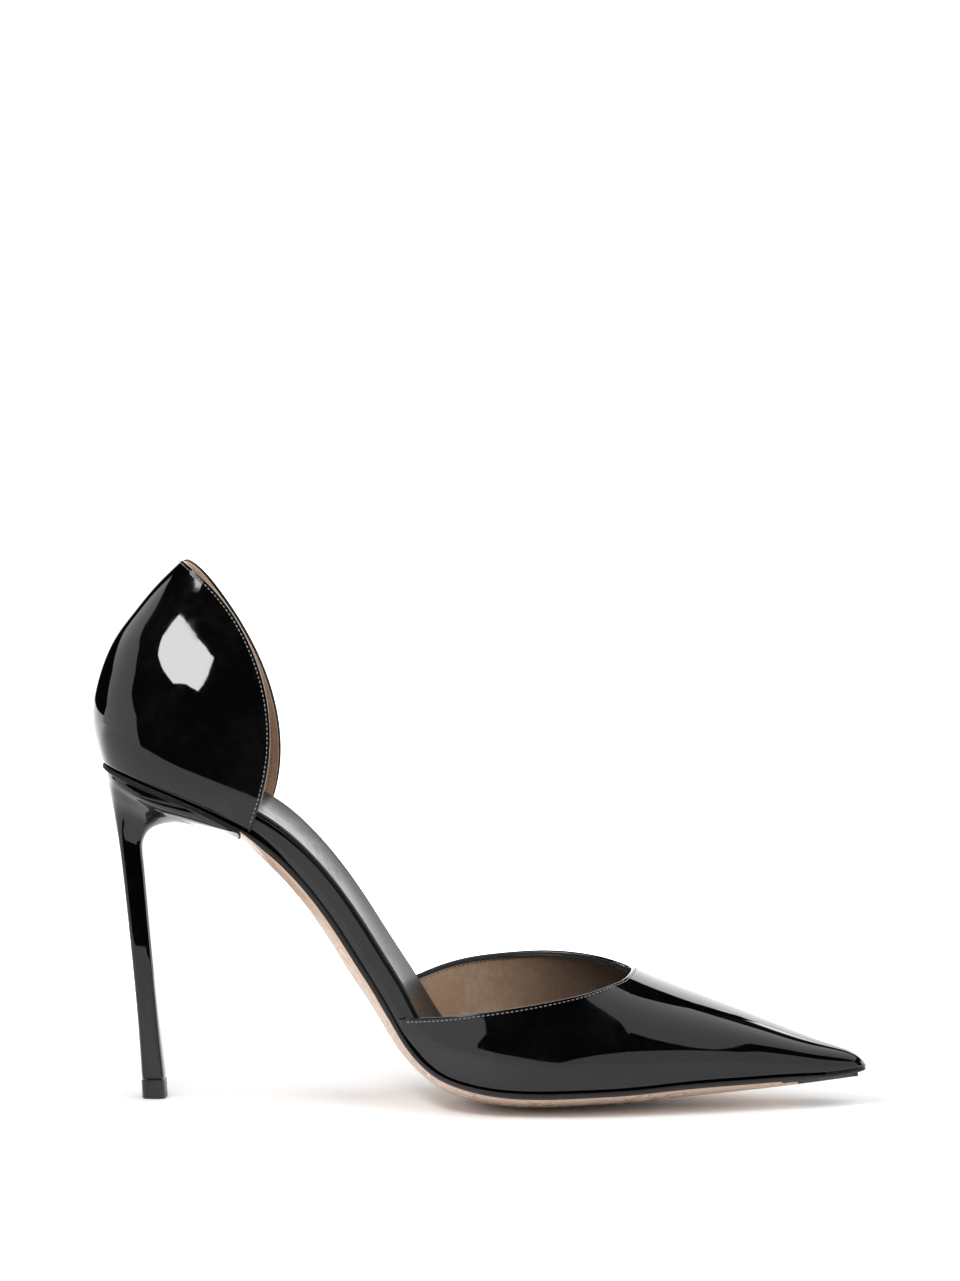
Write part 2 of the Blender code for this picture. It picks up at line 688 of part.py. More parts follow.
def ring_stack(name, rings, finish, collection):
    """A closed piece through a stack of rings, whose first and last are single points."""
    around, down = len(rings[0]), len(rings) - 1
    mesh = bmesh.new()
    mapped_grid(mesh, around, down, lambda u, v: rings[round(v * down)][round(u * around) % around])
    return finish_object(name, mesh, finish, collection)


def face_out(made):
    """Turns a closed piece's faces outwards."""
    mesh = bmesh.new()
    mesh.from_mesh(made.data)
    if mesh.calc_volume(signed=True) < 0:
        bmesh.ops.reverse_faces(mesh, faces=mesh.faces)
    mesh.to_mesh(made.data)
    mesh.free()


def stand_on_origin(pieces, collection):
    """Parents the pieces to an empty, so that the origin is under the middle of the whole shoe."""
    bpy.context.view_layer.update()
    graph = bpy.context.evaluated_depsgraph_get()
    corners = np.array([corner for piece in pieces for corner in piece.evaluated_get(graph).bound_box])
    middle = (corners.min(0) + corners.max(0)) / 2
    base = bpy.data.objects.new("shoe_base", None)
    collection.objects.link(base)
    base.location = (-middle[0], -middle[1], -corners.min(0)[2])
    for piece in pieces:
        piece.parent = base


def main():
    for old in list(bpy.data.objects):
        bpy.data.objects.remove(old, do_unlink=True)
    collection = bpy.data.collections.new("court_shoe")
    bpy.context.scene.collection.children.link(collection)
    last = Last()
    closed = [
        make_outsole(last, collection),
        make_insole_board(last, collection),
        make_sock(last, collection),
        make_heel(last, collection),
        make_top_lift(collection),
    ]
    for piece in closed:
        face_out(piece)
    shells = [make_vamp(last, collection), make_quarter(last, collection)]
    stand_on_origin([*closed, *shells], collection)


main()
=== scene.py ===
import math

import bmesh
import bpy
import numpy as np
from mathutils import Matrix, Vector
from mathutils.bvhtree import BVHTree


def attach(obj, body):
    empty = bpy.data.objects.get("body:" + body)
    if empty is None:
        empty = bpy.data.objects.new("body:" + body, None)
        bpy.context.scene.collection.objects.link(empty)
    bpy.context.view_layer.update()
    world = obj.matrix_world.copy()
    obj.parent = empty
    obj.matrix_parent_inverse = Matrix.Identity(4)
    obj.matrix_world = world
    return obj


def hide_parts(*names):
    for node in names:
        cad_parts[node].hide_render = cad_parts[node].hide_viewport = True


# A pointed court shoe with open sides, right foot. The shapes are worked out in millimetres on the shoe's
# last, with x from the back of the heel to the toe, +y to the inner side and z up from the floor.
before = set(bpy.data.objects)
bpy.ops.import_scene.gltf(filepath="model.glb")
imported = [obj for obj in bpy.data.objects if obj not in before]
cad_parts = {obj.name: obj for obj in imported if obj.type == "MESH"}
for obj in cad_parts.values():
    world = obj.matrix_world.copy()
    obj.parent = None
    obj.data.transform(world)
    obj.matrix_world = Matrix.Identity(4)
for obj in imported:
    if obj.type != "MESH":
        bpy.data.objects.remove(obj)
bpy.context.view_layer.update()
print("frame loaded:", sorted(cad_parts))

mm = 0.001
lateral, medial = -1, 1
lastMiddle = np.array([115.421, 0.888, 0.0])  # the last's point that is the frame's origin


def toFrame(points):
    return (np.asarray(points, float) - lastMiddle) * mm


# The last
lastSizes = {
    "toe": (231.0, 2.5),
    "heelBack": 2.5,
    "seatPitch": math.radians(24.0),
    "throat": 161.6,
    "quarterHeight": 64.5,
    "quarterTopAlong": -1.5,
    "quarterReach": 52.2,
    "backPower": 1.3,
    "backSoftness": 0.4,
    "toplinePowers": {lateral: (1.6, 2.25), medial: (1.18, 2.1)},
    "slopeStep": 0.05,
    "wingSearch": (80.0, 100.0),
    "topClear": 4.0,
    "outlineSamples": 8000,
    "ridgeSamples": 2400,
}

bottomTable = (
    ("x", "z", "curlLateral", "curlMedial", "referenceWidth", "boardThick"),
    (2.5, 102.2, 1.2, 1.2, 24, 4.6), (13, 97.6, 1.4, 1.4, 24.8, 4.8),
    (24, 92.8, 1.7, 1.7, 25.5, 5.2), (34, 88.2, 2, 2.1, 25.6, 5.8), (43, 83.3, 2.4, 2.6, 25, 6.1),
    (50, 78.7, 2.8, 3.2, 24, 6.3), (57.5, 72.2, 3.2, 3.7, 22.8, 6.3),
    (65, 63.7, 3.5, 4.1, 21.8, 6.3), (72, 54, 3.6, 4.3, 21.4, 6.3), (80, 41.4, 3.7, 4.4, 22.2, 6.3),
    (88, 28.6, 3.8, 4.5, 24.4, 6.2), (94, 18.5, 3.9, 4.6, 26.8, 5.9),
    (100, 11.6, 4.1, 4.6, 29.2, 5.3), (107, 7.1, 4.4, 4.7, 31.8, 4.5),
    (114, 5, 4.6, 4.7, 34.2, 3.9), (122, 3.8, 4.7, 4.7, 36.2, 3.4), (132, 3.4, 4.7, 4.7, 37.4, 3.1),
    (150, 4.1, 4.7, 4.7, 36.8, 3), (163, 4.8, 4.6, 4.6, 33.8, 2.9), (176, 5.8, 4.5, 4.5, 29, 2.7),
    (188, 6.8, 4.1, 4.1, 24.2, 2.5), (200, 7.8, 3.4, 3.4, 19, 2.2), (212, 9, 2.3, 2.3, 13.4, 2),
    (222, 10.1, 1.1, 1.1, 10, 1.8), (231, 11.2, 0, 0, 8, 1.6),
)

outlineTable = (  # distance of each edge of the bottom from the middle line
    ("x", "lateral", "medial"),
    (4, 9.5, 9.5), (8, 16.4, 16.4), (15, 21.4, 21.4), (26, 24.9, 24.9), (40, 26, 25.6),
    (55, 24.3, 22.8), (70, 22.6, 20.4), (85, 24.8, 21.8), (100, 30, 27.8), (115, 34.9, 34),
    (130, 37, 37.8), (145, 36, 38.6), (160, 32.6, 36.2), (175, 27.6, 31.4), (190, 21.6, 25.6),
    (205, 14.8, 18.9), (218, 8.2, 12.6), (226, 3.6, 8.5), (229.6, 0.4, 5.5),
)

ridgeRows = (  # x and z of the top line over the toes and the instep
    (80, 98), (105, 79), (120, 67), (135, 55.5), (150, 45.6), (161.6, 39.4), (175.7, 33.7),
    (190, 28.5), (205.5, 22.7), (217.4, 18.5), (224.5, 16.3), (228, 14.8), (230.2, 13),
)

sectionTable = (
    ("x", "ridgeY", "lean", "riseShare", "fullness"),
    (85, 4, 6, 0.42, 0.70), (110, 5, 7, 0.48, 0.70), (135, 5, 8.5, 0.52, 0.71),
    (161.6, 4.6, 13.5, 0.62, 0.74), (190, 3.8, 15, 0.69, 0.76), (215, 3, 14, 0.71, 0.76),
    (231, 2.5, 6, 0.60, 0.60),
)

collarTables = {
    lateral: (
        (86, 26.9), (92.3, 27.4), (106, 28.8), (118, 30.6), (133, 32.9),
        (144, 34.8), (151, 36.2), (157, 37.7), (160.4, 38.7), (161.6, 39.4),
    ),
    medial: (
        (86, 30.4), (92.5, 33.1), (101.7, 36.7), (110, 38.8), (120, 40.1), (133.6, 41.2),
        (145, 41), (153, 40.1), (158, 38.9), (160.4, 38.6), (161.6, 39.4),
    ),
}

cupTable = (  # how far the heel cup's wall stands out from the bottom edge
    ("height", "backOut", "sideOut"),
    (-4, -4, -0.9), (0, 0, 0), (4, 3.4, 0.8), (9, 6.8, 1.2), (15, 9.3, 0.9), (22, 10.8, -0.1),
    (29, 11.4, -1.6), (37, 10.9, -3.8), (45, 9, -6.5), (55, 6.1, -10.6), (65, 2, -15.4),
)


def smoothCurve(knots, values):
    # natural cubic through the values, as a function that takes arrays
    knots, values = np.asarray(knots, float), np.asarray(values, float)
    count, step = len(knots), np.diff(knots)
    system, right = np.eye(count), np.zeros(count)
    for i in range(1, count - 1):
        system[i, i - 1:i + 2] = step[i - 1], 2 * (step[i - 1] + step[i]), step[i]
        right[i] = 6 * ((values[i + 1] - values[i]) / step[i] - (values[i] - values[i - 1]) / step[i - 1])
    bend = np.linalg.solve(system, right)

    def at(t):
        i = np.clip(np.searchsorted(knots, t) - 1, 0, count - 2)
        near, far = (knots[i + 1] - t) / step[i], (t - knots[i]) / step[i]
        cubic = (near**3 - near) * bend[i] + (far**3 - far) * bend[i + 1]
        return near * values[i] + far * values[i + 1] + cubic * step[i] ** 2 / 6

    return at


def tableCurves(table):
    # the table's first row names its columns, and the first column is what the curves run over
    columns = np.array(table[1:], float).T
    return {name: smoothCurve(columns[0], values) for name, values in zip(table[0][1:], columns[1:])}


def lengthsAlong(points):
    return np.concatenate([[0.0], np.cumsum(np.linalg.norm(np.diff(points, axis=0), axis=1))])


def denseCurve(points, samples):
    points = np.asarray(points, float)
    reach = lengthsAlong(points)
    t = np.linspace(0.0, reach[-1], samples)
    return np.stack([smoothCurve(reach, points[:, k])(t) for k in range(points.shape[1])], axis=1)


def crossing(function, low, high, steps=40):
    # where a rising function crosses zero, for arrays of brackets
    low, high = np.array(low, float), np.array(high, float)
    for _ in range(steps):
        middle = 0.5 * (low + high)
        below = function(middle) < 0
        low, high = np.where(below, middle, low), np.where(below, high, middle)
    return 0.5 * (low + high)


bottomAt = tableCurves(bottomTable)
sectionAt = tableCurves(sectionTable)
collarAt = {side: smoothCurve(*zip(*rows)) for side, rows in collarTables.items()}
cupAt = tableCurves(cupTable)
halfOutlines = {}


def closedOutline():
    x, out, inner = np.array(outlineTable[1:], float).T
    heel, toe = np.array([[lastSizes["heelBack"], 0.0]]), np.array([lastSizes["toe"]])
    loop = np.concatenate([heel, np.stack([x, -out], 1), toe, np.stack([x, inner], 1)[::-1]])
    wrap, samples = 4, lastSizes["outlineSamples"]
    dense = denseCurve(np.concatenate([loop[-wrap:], loop, loop[:wrap + 1]]), samples)
    middle = samples // 2
    start = np.argmin(np.linalg.norm(dense[:middle] - heel, axis=1))
    end = middle + np.argmin(np.linalg.norm(dense[middle:] - heel, axis=1))
    return dense[start:end]


outline = closedOutline()


def halfOutline(side, inset=0.0):
    key = (side, round(float(inset), 3))
    if key not in halfOutlines:
        along = np.gradient(outline, axis=0)
        along /= np.linalg.norm(along, axis=1)[:, None]
        moved = outline + np.stack([-along[:, 1], along[:, 0]], axis=1) * inset
        toe = np.argmax(moved[:, 0])
        halfOutlines[key] = moved[:toe + 1] if side == lateral else moved[toe:][::-1]
    return halfOutlines[key]


def edgeY(side, x, inset=0.0):
    half = halfOutline(side, inset)
    return np.interp(x, half[:, 0], half[:, 1])


def lastPoint(x, y, height):
    # square to the bottom's centre line, with the bottom's edges curled up
    step = lastSizes["slopeStep"]
    curl = np.where(y < 0, bottomAt["curlLateral"](x), bottomAt["curlMedial"](x))
    height = height + curl * (np.abs(y) / bottomAt["referenceWidth"](x)) ** 3
    slope = (bottomAt["z"](x + step) - bottomAt["z"](x - step)) / (2 * step)
    size = np.hypot(1.0, slope)
    place = np.broadcast_arrays(x - slope / size * height, y, bottomAt["z"](x) + height / size)
    return np.stack(place, axis=-1)


def ridgeLine():
    tip = (lastSizes["toe"][0], float(bottomAt["z"](lastSizes["toe"][0])))
    mirrored = [(x, 2 * tip[1] - z) for x, z in ridgeRows[:-3:-1]]
    line = denseCurve([*ridgeRows, tip, *mirrored], lastSizes["ridgeSamples"])
    return line[:np.argmax(line[:, 0]) + 1]


ridge = ridgeLine()


def unit(vectors):
    return vectors / np.maximum(np.linalg.norm(vectors, axis=-1, keepdims=True), 1e-9)


def vampPoint(side, x, share):
    # the vamp's outside: share runs from 0 at the bottom edge to 1 at the ridge
    x, share = np.broadcast_arrays(np.asarray(x, float), np.asarray(share, float))
    foot = lastPoint(x, edgeY(side, x), 0.0)
    top = np.stack([x, sectionAt["ridgeY"](x), np.interp(x, ridge[:, 0], ridge[:, 1])], axis=-1)
    lean = np.radians(sectionAt["lean"](x))
    rise = sectionAt["riseShare"](x) * (top[..., 2] - foot[..., 2])
    low = foot + np.stack([0 * x, side * np.sin(lean), np.cos(lean)], axis=-1) * rise[..., None]
    high = top.copy()
    high[..., 1] += sectionAt["fullness"](x) * (foot[..., 1] - top[..., 1])
    a, b = (1.0 - share)[..., None], share[..., None]
    return a**3 * foot + 3 * a * a * b * low + 3 * a * b * b * high + b**3 * top


def vampNormal(side, x, share, step=0.02, shareStep=0.002):
    ahead = vampPoint(side, np.minimum(x + step, lastSizes["toe"][0]), share)
    across = vampPoint(side, x, share + shareStep) - vampPoint(side, x, share - shareStep)
    return unit(np.cross(ahead - vampPoint(side, x - step, share), across)) * -side


def collarShare(side, x):
    def over(share):
        at = vampPoint(side, x, share)
        return at[..., 2] - collarAt[side](at[..., 0])

    return np.where(x >= lastSizes["throat"], 1.0, crossing(over, np.zeros_like(x), np.ones_like(x)))


def wingStart(side):
    def over(x):
        at = lastPoint(x, edgeY(side, x), 0.0)
        return collarAt[side](at[..., 0]) - at[..., 2]

    return float(crossing(over, *lastSizes["wingSearch"]))


def cupPoint(place, direction, height):
    # the heel cup's outside above a place on the bottom edge
    soft = lastSizes["backSoftness"]
    back = (np.hypot(direction[..., 0], soft) - direction[..., 0]) / (math.hypot(1.0, soft) + 1.0)
    back = back ** lastSizes["backPower"]
    out = cupAt["backOut"](height) * back + cupAt["sideOut"](height) * (1.0 - back)
    sine, cosine = math.sin(lastSizes["seatPitch"]), math.cos(lastSizes["seatPitch"])
    along = direction[..., 0] * out
    forwards, upwards = sine * height + along * cosine, cosine * height - along * sine
    shift = np.stack([forwards, direction[..., 1] * out, upwards], axis=-1)
    return lastPoint(place[..., 0], place[..., 1], 0.0) + shift


def toplineHeight(place, direction):
    sine, cosine = math.sin(lastSizes["seatPitch"]), math.cos(lastSizes["seatPitch"])
    backX, tall = lastSizes["heelBack"], lastSizes["quarterHeight"]
    backZ = bottomAt["z"](backX)
    outer, inner = lastSizes["toplinePowers"][lateral], lastSizes["toplinePowers"][medial]
    powerAlong = np.where(place[..., 1] < 0, outer[0], inner[0])
    powerUp = np.where(place[..., 1] < 0, outer[1], inner[1])

    def over(height):
        at = cupPoint(place, direction, height)
        dx, dz = at[..., 0] - backX, at[..., 2] - backZ
        along, up = dx * cosine - dz * sine, dx * sine + dz * cosine
        share = np.clip((along - lastSizes["quarterTopAlong"]) / lastSizes["quarterReach"], 0.0, 1.0)
        return up - tall * (1.0 - share**powerAlong) ** (1.0 / powerUp)

    start = np.zeros(place.shape[:-1])
    return crossing(over, start, start + tall + lastSizes["topClear"])


# Making meshes
weldReach = 2e-7


def addGrid(bm, points, closed=False):
    # a grid moved to rows and columns of points on the last; closed joins the last column to the first
    if closed:
        points = np.concatenate([points, points[:, :1]], axis=1)
    places = toFrame(points)
    rows, columns = points.shape[0] - 1, points.shape[1] - 1
    made = bmesh.ops.create_grid(bm, x_segments=columns, y_segments=rows, size=0.5)
    for vert in made["verts"]:
        row, column = round((vert.co.y + 0.5) * rows), round((vert.co.x + 0.5) * columns)
        vert.co = places[row, column]
    return made["verts"]


def weld(bm):
    bmesh.ops.remove_doubles(bm, verts=bm.verts, dist=weldReach)
    bmesh.ops.dissolve_degenerate(bm, edges=bm.edges, dist=weldReach)


def faceOutwards(bm, inside):
    # turns an open or closed shell's faces away from a point inside it
    weld(bm)
    bmesh.ops.recalc_face_normals(bm, faces=bm.faces)
    middle = Vector(toFrame(inside))
    if sum((f.calc_center_median() - middle).dot(f.normal) * f.calc_area() for f in bm.faces) < 0:
        bmesh.ops.reverse_faces(bm, faces=bm.faces)


def addObject(name, data):
    thing = bpy.data.objects.new(name, data)
    bpy.context.scene.collection.objects.link(thing)
    return thing


def addMesh(name, bm, material):
    mesh = bpy.data.meshes.new(name)
    bm.to_mesh(mesh)
    bm.free()
    mesh.materials.append(material)
    return addObject(name, mesh)


def addPiece(name, bm, material, node=None):
    piece = addMesh(name, bm, material)
    piece.data.shade_smooth()
    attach(piece, "root")
    if node:
        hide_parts(node)
    print("made", name, len(piece.data.polygons), "faces")
    return piece


def thicken(piece, thickness, side=-1.0):
    wall = piece.modifiers.new("wall", "SOLIDIFY")
    wall.thickness = thickness * mm
    wall.offset = side
    wall.use_rim = True


def evenSteps(count, power=1.0):
    # from 0 to 1, closer together at 1 when power is over 1
    return 1.0 - (1.0 - np.linspace(0.0, 1.0, count + 1)) ** power


def distanceTo(points, line, batch=400):
    # nearest distance from each point to a polyline's points
    flat, best = points.reshape(-1, 3), []
    for part in np.array_split(flat, max(1, len(flat) // batch)):
        best.append(np.sqrt(((part[:, None, :] - line[None]) ** 2).sum(-1)).min(1))
    return np.concatenate(best).reshape(points.shape[:-1])


# Finishes
def newGroup(name, output, *inputs):
    # a group of nodes from its inputs, of which Vector is a vector, to one number
    group = bpy.data.node_groups.new(name, "ShaderNodeTree")
    for label in inputs:
        kind = "NodeSocketVector" if label == "Vector" else "NodeSocketFloat"
        group.interface.new_socket(label, in_out="INPUT", socket_type=kind)
    group.interface.new_socket(output, in_out="OUTPUT", socket_type="NodeSocketFloat")
    given, out = (group.nodes.new("NodeGroup" + end) for end in ("Input", "Output"))
    return group, [given.outputs[label] for label in inputs], out.inputs[output]


def newNode(tree, kind, values, **settings):
    # numbers and colours are set on the node's inputs, and anything else is linked to them
    node = tree.nodes.new(kind)
    for key, value in settings.items():
        setattr(node, key, value)
    for label, value in values.items():
        if isinstance(value, (int, float)):
            node.inputs[label].default_value = value
        elif isinstance(value, tuple):
            node.inputs[label].default_value = (*value, 1.0)
        else:
            tree.links.new(value, node.inputs[label])
    return node


def axesOf(tree, vector):
    return newNode(tree, "ShaderNodeSeparateXYZ", {"Vector": vector}).outputs


def mathNode(tree, operation, *values):
    return newNode(tree, "ShaderNodeMath", dict(enumerate(values)), operation=operation).outputs["Value"]


def noiseNode(tree, vector, scale, detail=2.0, rough=0.5):
    values = {"Vector": vector, "Scale": scale, "Detail": detail, "Roughness": rough}
    return newNode(tree, "ShaderNodeTexNoise", values).outputs["Fac"]


def rangeNode(tree, value, low, high, toLow, toHigh):
    values = {"Value": value, "From Min": low, "From Max": high, "To Min": toLow, "To Max": toHigh}
    return newNode(tree, "ShaderNodeMapRange", values, interpolation_type="SMOOTHSTEP").outputs["Result"]


def mixColours(tree, factor, first, second):
    values = {"Factor": factor, 6: first, 7: second}
    return newNode(tree, "ShaderNodeMix", values, data_type="RGBA").outputs[2]


grainLook = {"border": 0.35, "poreScale": 2.6, "poreDetail": 3.0, "poreShare": 0.7}
marksLook = {"cloudDetail": 4.0, "cloudRough": 0.6, "streakScale": 9.0, "streakLift": 0.5,
             "range": (0.38, 0.75)}


def makeGrainGroup():
    # leather grain: pebbles with creased borders, over finer pores
    group, (vector, scale), out = newGroup("leatherGrain", "Height", "Vector", "Scale")
    places = {"Vector": vector, "Scale": scale}
    pebble = newNode(group, "ShaderNodeTexVoronoi", places, feature="DISTANCE_TO_EDGE")
    border = rangeNode(group, pebble.outputs["Distance"], 0.0, grainLook["border"], 0.0, 1.0)
    finer = mathNode(group, "MULTIPLY", scale, grainLook["poreScale"])
    pores = noiseNode(group, vector, finer, grainLook["poreDetail"])
    height = mathNode(group, "ADD", border, mathNode(group, "MULTIPLY", pores, grainLook["poreShare"]))
    group.links.new(height, out)
    return group


def makeMarksGroup():
    # soft smudges and fine rubbed streaks
    group, (vector, scale), out = newGroup("handlingMarks", "Mask", "Vector", "Scale")
    cloud = noiseNode(group, vector, scale, marksLook["cloudDetail"], marksLook["cloudRough"])
    streak = noiseNode(group, vector, mathNode(group, "MULTIPLY", scale, marksLook["streakScale"]))
    both = mathNode(group, "MULTIPLY", cloud, mathNode(group, "ADD", streak, marksLook["streakLift"]))
    group.links.new(rangeNode(group, both, *marksLook["range"], 0.0, 1.0), out)
    return group


def makeSeamGroup():
    # a sewn line as a soft trough at a distance from an edge
    group, (distance, line, width), out = newGroup("sewnTrough", "Height", "Distance", "Line", "Width")
    share = mathNode(group, "DIVIDE", mathNode(group, "SUBTRACT", distance, line), width)
    square = mathNode(group, "MULTIPLY", share, share)
    dip = mathNode(group, "EXPONENT", mathNode(group, "MULTIPLY", square, -1.0))
    group.links.new(mathNode(group, "MULTIPLY", dip, -1.0), out)
    return group


grainGroup, marksGroup, seamGroup = makeGrainGroup(), makeMarksGroup(), makeSeamGroup()


def newMaterial(name, sockets):
    material = bpy.data.materials.new(name)
    material.use_nodes = True
    tree = material.node_tree
    shader = tree.nodes["Principled BSDF"]
    for label, value in sockets.items():
        shader.inputs[label].default_value = (*value, 1.0) if isinstance(value, tuple) else value
    place = tree.nodes.new("ShaderNodeTexCoord").outputs["Object"]
    return material, tree, shader, place


def useGroup(tree, group, **values):
    return newNode(tree, "ShaderNodeGroup", values, node_tree=group).outputs[0]


def bumpChain(tree, shader, *layers):
    # stacks bump layers, each a height and its depth in metres, and feeds the shader's Normal
    normal = None
    for height, depth in layers:
        node = tree.nodes.new("ShaderNodeBump")
        node.inputs["Strength"].default_value = 1.0
        node.inputs["Distance"].default_value = depth
        tree.links.new(height, node.inputs["Height"])
        if normal is not None:
            tree.links.new(normal, node.inputs["Normal"])
        normal = node.outputs["Normal"]
    tree.links.new(normal, shader.inputs["Normal"])


def attributeNode(tree, name):
    node = tree.nodes.new("ShaderNodeAttribute")
    node.attribute_name = name
    return node.outputs["Fac"]


def roughen(tree, rough, mask, least):
    # no smoother than the given roughness where the mask is 1
    return mathNode(tree, "MAXIMUM", rough, mathNode(tree, "MULTIPLY", mask, least))


def coatOutside(tree, shader, mask, weight):
    # a coat that is missing where the mask is 1
    share = mathNode(tree, "SUBTRACT", 1.0, mask)
    tree.links.new(mathNode(tree, "MULTIPLY", share, weight), shader.inputs["Coat Weight"])


def markedLook(tree, place, finish):
    # a colour and a roughness that follow the handling marks
    marks = useGroup(tree, marksGroup, Vector=place, Scale=finish["marksScale"])
    colour = mixColours(tree, marks, *finish["colours"])
    return colour, rangeNode(tree, marks, 0.0, 1.0, *finish["roughness"])


def setLook(tree, shader, colour, rough):
    tree.links.new(colour, shader.inputs["Base Color"])
    tree.links.new(rough, shader.inputs["Roughness"])


patentFinish = {
    "sockets": {"Specular IOR Level": 0.29, "Coat Weight": 0.4, "Coat Roughness": 0.02, "Coat IOR": 1.5},
    "colours": ((0.0010, 0.0010, 0.0011), (0.0030, 0.0029, 0.0029)), "roughness": (0.035, 0.075),
    "marksScale": 45.0, "inside": (0.03, 0.03, 0.031), "insideRough": 0.32, "dull": 0.65,
    "peelScale": 900.0, "peelDepth": 1.6e-6, "rippleScale": 110.0, "rippleDetail": 1.0,
    "rippleDepth": 2.6e-5, "seamDepth": 4e-5, "seamLine": 0.6, "seamWidth": 0.35,
}


def makePatent(name, sewn=True, ripple=1.0):
    material, tree, shader, place = newMaterial(name, patentFinish["sockets"])
    colour, rough = markedLook(tree, place, patentFinish)
    swell = noiseNode(tree, place, patentFinish["rippleScale"], patentFinish["rippleDetail"])
    peel = noiseNode(tree, place, patentFinish["peelScale"])
    layers = [(swell, patentFinish["rippleDepth"] * ripple), (peel, patentFinish["peelDepth"])]
    if sewn:
        inside = attributeNode(tree, "inside")
        colour = mixColours(tree, inside, colour, patentFinish["inside"])
        rough = roughen(tree, rough, inside, patentFinish["insideRough"])
        trough = useGroup(tree, seamGroup, Distance=attributeNode(tree, "edgeGap"),
                          Line=patentFinish["seamLine"], Width=patentFinish["seamWidth"])
        layers.append((trough, patentFinish["seamDepth"]))
    else:
        dull = attributeNode(tree, "dull")
        rough = roughen(tree, rough, dull, patentFinish["dull"])
        coatOutside(tree, shader, dull, patentFinish["sockets"]["Coat Weight"])
    setLook(tree, shader, colour, rough)
    bumpChain(tree, shader, *layers)
    return material


liningFinish = {
    "sockets": {"Specular IOR Level": 0.4}, "marksScale": 70.0,
    "colours": ((0.41, 0.265, 0.175), (0.49, 0.335, 0.235)), "roughness": (0.38, 0.55),
    "grainScale": 1500.0, "grainDepth": 2.5e-5,
    "creaseScale": 130.0, "creaseDetail": 3.0, "creaseRough": 0.55, "creaseDepth": 1.5e-4,
    "paintedShadeFrom": (-0.005, 0.05), "shade": 0.75, "paintedShadeColour": (0.06, 0.038, 0.026),
}


def makeLiningLeather():
    material, tree, shader, place = newMaterial("liningLeather", liningFinish["sockets"])
    colour, rough = markedLook(tree, place, liningFinish)
    # painted shade: the lining's colour darkens from x -0.005 m to 0.05 m, towards the throat and the toe,
    # where the inside of the shoe is in shade
    paintedShade = rangeNode(tree, axesOf(tree, place)["X"], *liningFinish["paintedShadeFrom"], 0.0, liningFinish["shade"])
    setLook(tree, shader, mixColours(tree, paintedShade, colour, liningFinish["paintedShadeColour"]), rough)
    grain = useGroup(tree, grainGroup, Vector=place, Scale=liningFinish["grainScale"])
    crease = noiseNode(tree, place, liningFinish["creaseScale"], liningFinish["creaseDetail"],
                       liningFinish["creaseRough"])
    bumpChain(tree, shader, (crease, liningFinish["creaseDepth"]), (grain, liningFinish["grainDepth"]))
    return material


sockFinish = {
    "sockets": {"Specular IOR Level": 0.62}, "marksScale": 55.0,
    "colours": ((0.012, 0.012, 0.012), (0.022, 0.0215, 0.021)), "roughness": (0.36, 0.46),
    "grainScale": 1300.0, "grainDepth": 8e-6, "pressedLine": 1.3, "pressedWidth": 0.3, "pressedDepth": 6e-5,
}


def makeSockLeather():
    material, tree, shader, place = newMaterial("sockLeather", sockFinish["sockets"])
    setLook(tree, shader, *markedLook(tree, place, sockFinish))
    grain = useGroup(tree, grainGroup, Vector=place, Scale=sockFinish["grainScale"])
    line = useGroup(tree, seamGroup, Distance=attributeNode(tree, "edgeGap"),
                    Line=sockFinish["pressedLine"], Width=sockFinish["pressedWidth"])
    bumpChain(tree, shader, (grain, sockFinish["grainDepth"]), (line, sockFinish["pressedDepth"]))
    return material


soleFinish = {
    "sockets": {"Specular IOR Level": 0.4, "Coat Roughness": 0.12}, "coat": 0.2, "marksScale": 40.0,
    "colours": ((0.58, 0.42, 0.325), (0.64, 0.48, 0.38)), "roughness": (0.25, 0.4),
    "edge": (0.005, 0.005, 0.005), "edgeRough": 0.5, "edgeFrom": (0.4, 0.6),
    "fibreStretch": (0.18, 1.0, 1.0), "fibreScale": 420.0, "fibreDetail": 4.0, "fibreRough": 0.6,
    "fibreFrom": (0.3, 0.7), "fibreDepth": 1.2e-5,
}


def makeSoleLeather():
    material, tree, shader, place = newMaterial("soleLeather", soleFinish["sockets"])
    stretch = tree.nodes.new("ShaderNodeMapping")
    stretch.inputs["Scale"].default_value = soleFinish["fibreStretch"]
    tree.links.new(place, stretch.inputs["Vector"])
    fibre = noiseNode(tree, stretch.outputs["Vector"], soleFinish["fibreScale"], soleFinish["fibreDetail"],
                      soleFinish["fibreRough"])
    fibres = rangeNode(tree, fibre, *soleFinish["fibreFrom"], 0.0, 1.0)
    tan = mixColours(tree, fibres, *soleFinish["colours"])
    paint = rangeNode(tree, attributeNode(tree, "edgePaint"), *soleFinish["edgeFrom"], 0.0, 1.0)
    marks = useGroup(tree, marksGroup, Vector=place, Scale=soleFinish["marksScale"])
    rough = rangeNode(tree, marks, 0.0, 1.0, *soleFinish["roughness"])
    setLook(tree, shader, mixColours(tree, paint, tan, soleFinish["edge"]),
            roughen(tree, rough, paint, soleFinish["edgeRough"]))
    coatOutside(tree, shader, paint, soleFinish["coat"])
    bumpChain(tree, shader, (fibre, soleFinish["fibreDepth"]))
    return material


liftFinish = {
    "sockets": {"Specular IOR Level": 0.45}, "marksScale": 220.0,
    "colours": ((0.010, 0.010, 0.010), (0.02, 0.02, 0.02)), "roughness": (0.32, 0.5),
    "grainScale": 2600.0, "grainDepth": 6e-6,
}


def makeLiftPlastic():
    material, tree, shader, place = newMaterial("liftPlastic", liftFinish["sockets"])
    setLook(tree, shader, *markedLook(tree, place, liftFinish))
    grain = noiseNode(tree, place, liftFinish["grainScale"])
    bumpChain(tree, shader, (grain, liftFinish["grainDepth"]))
    return material


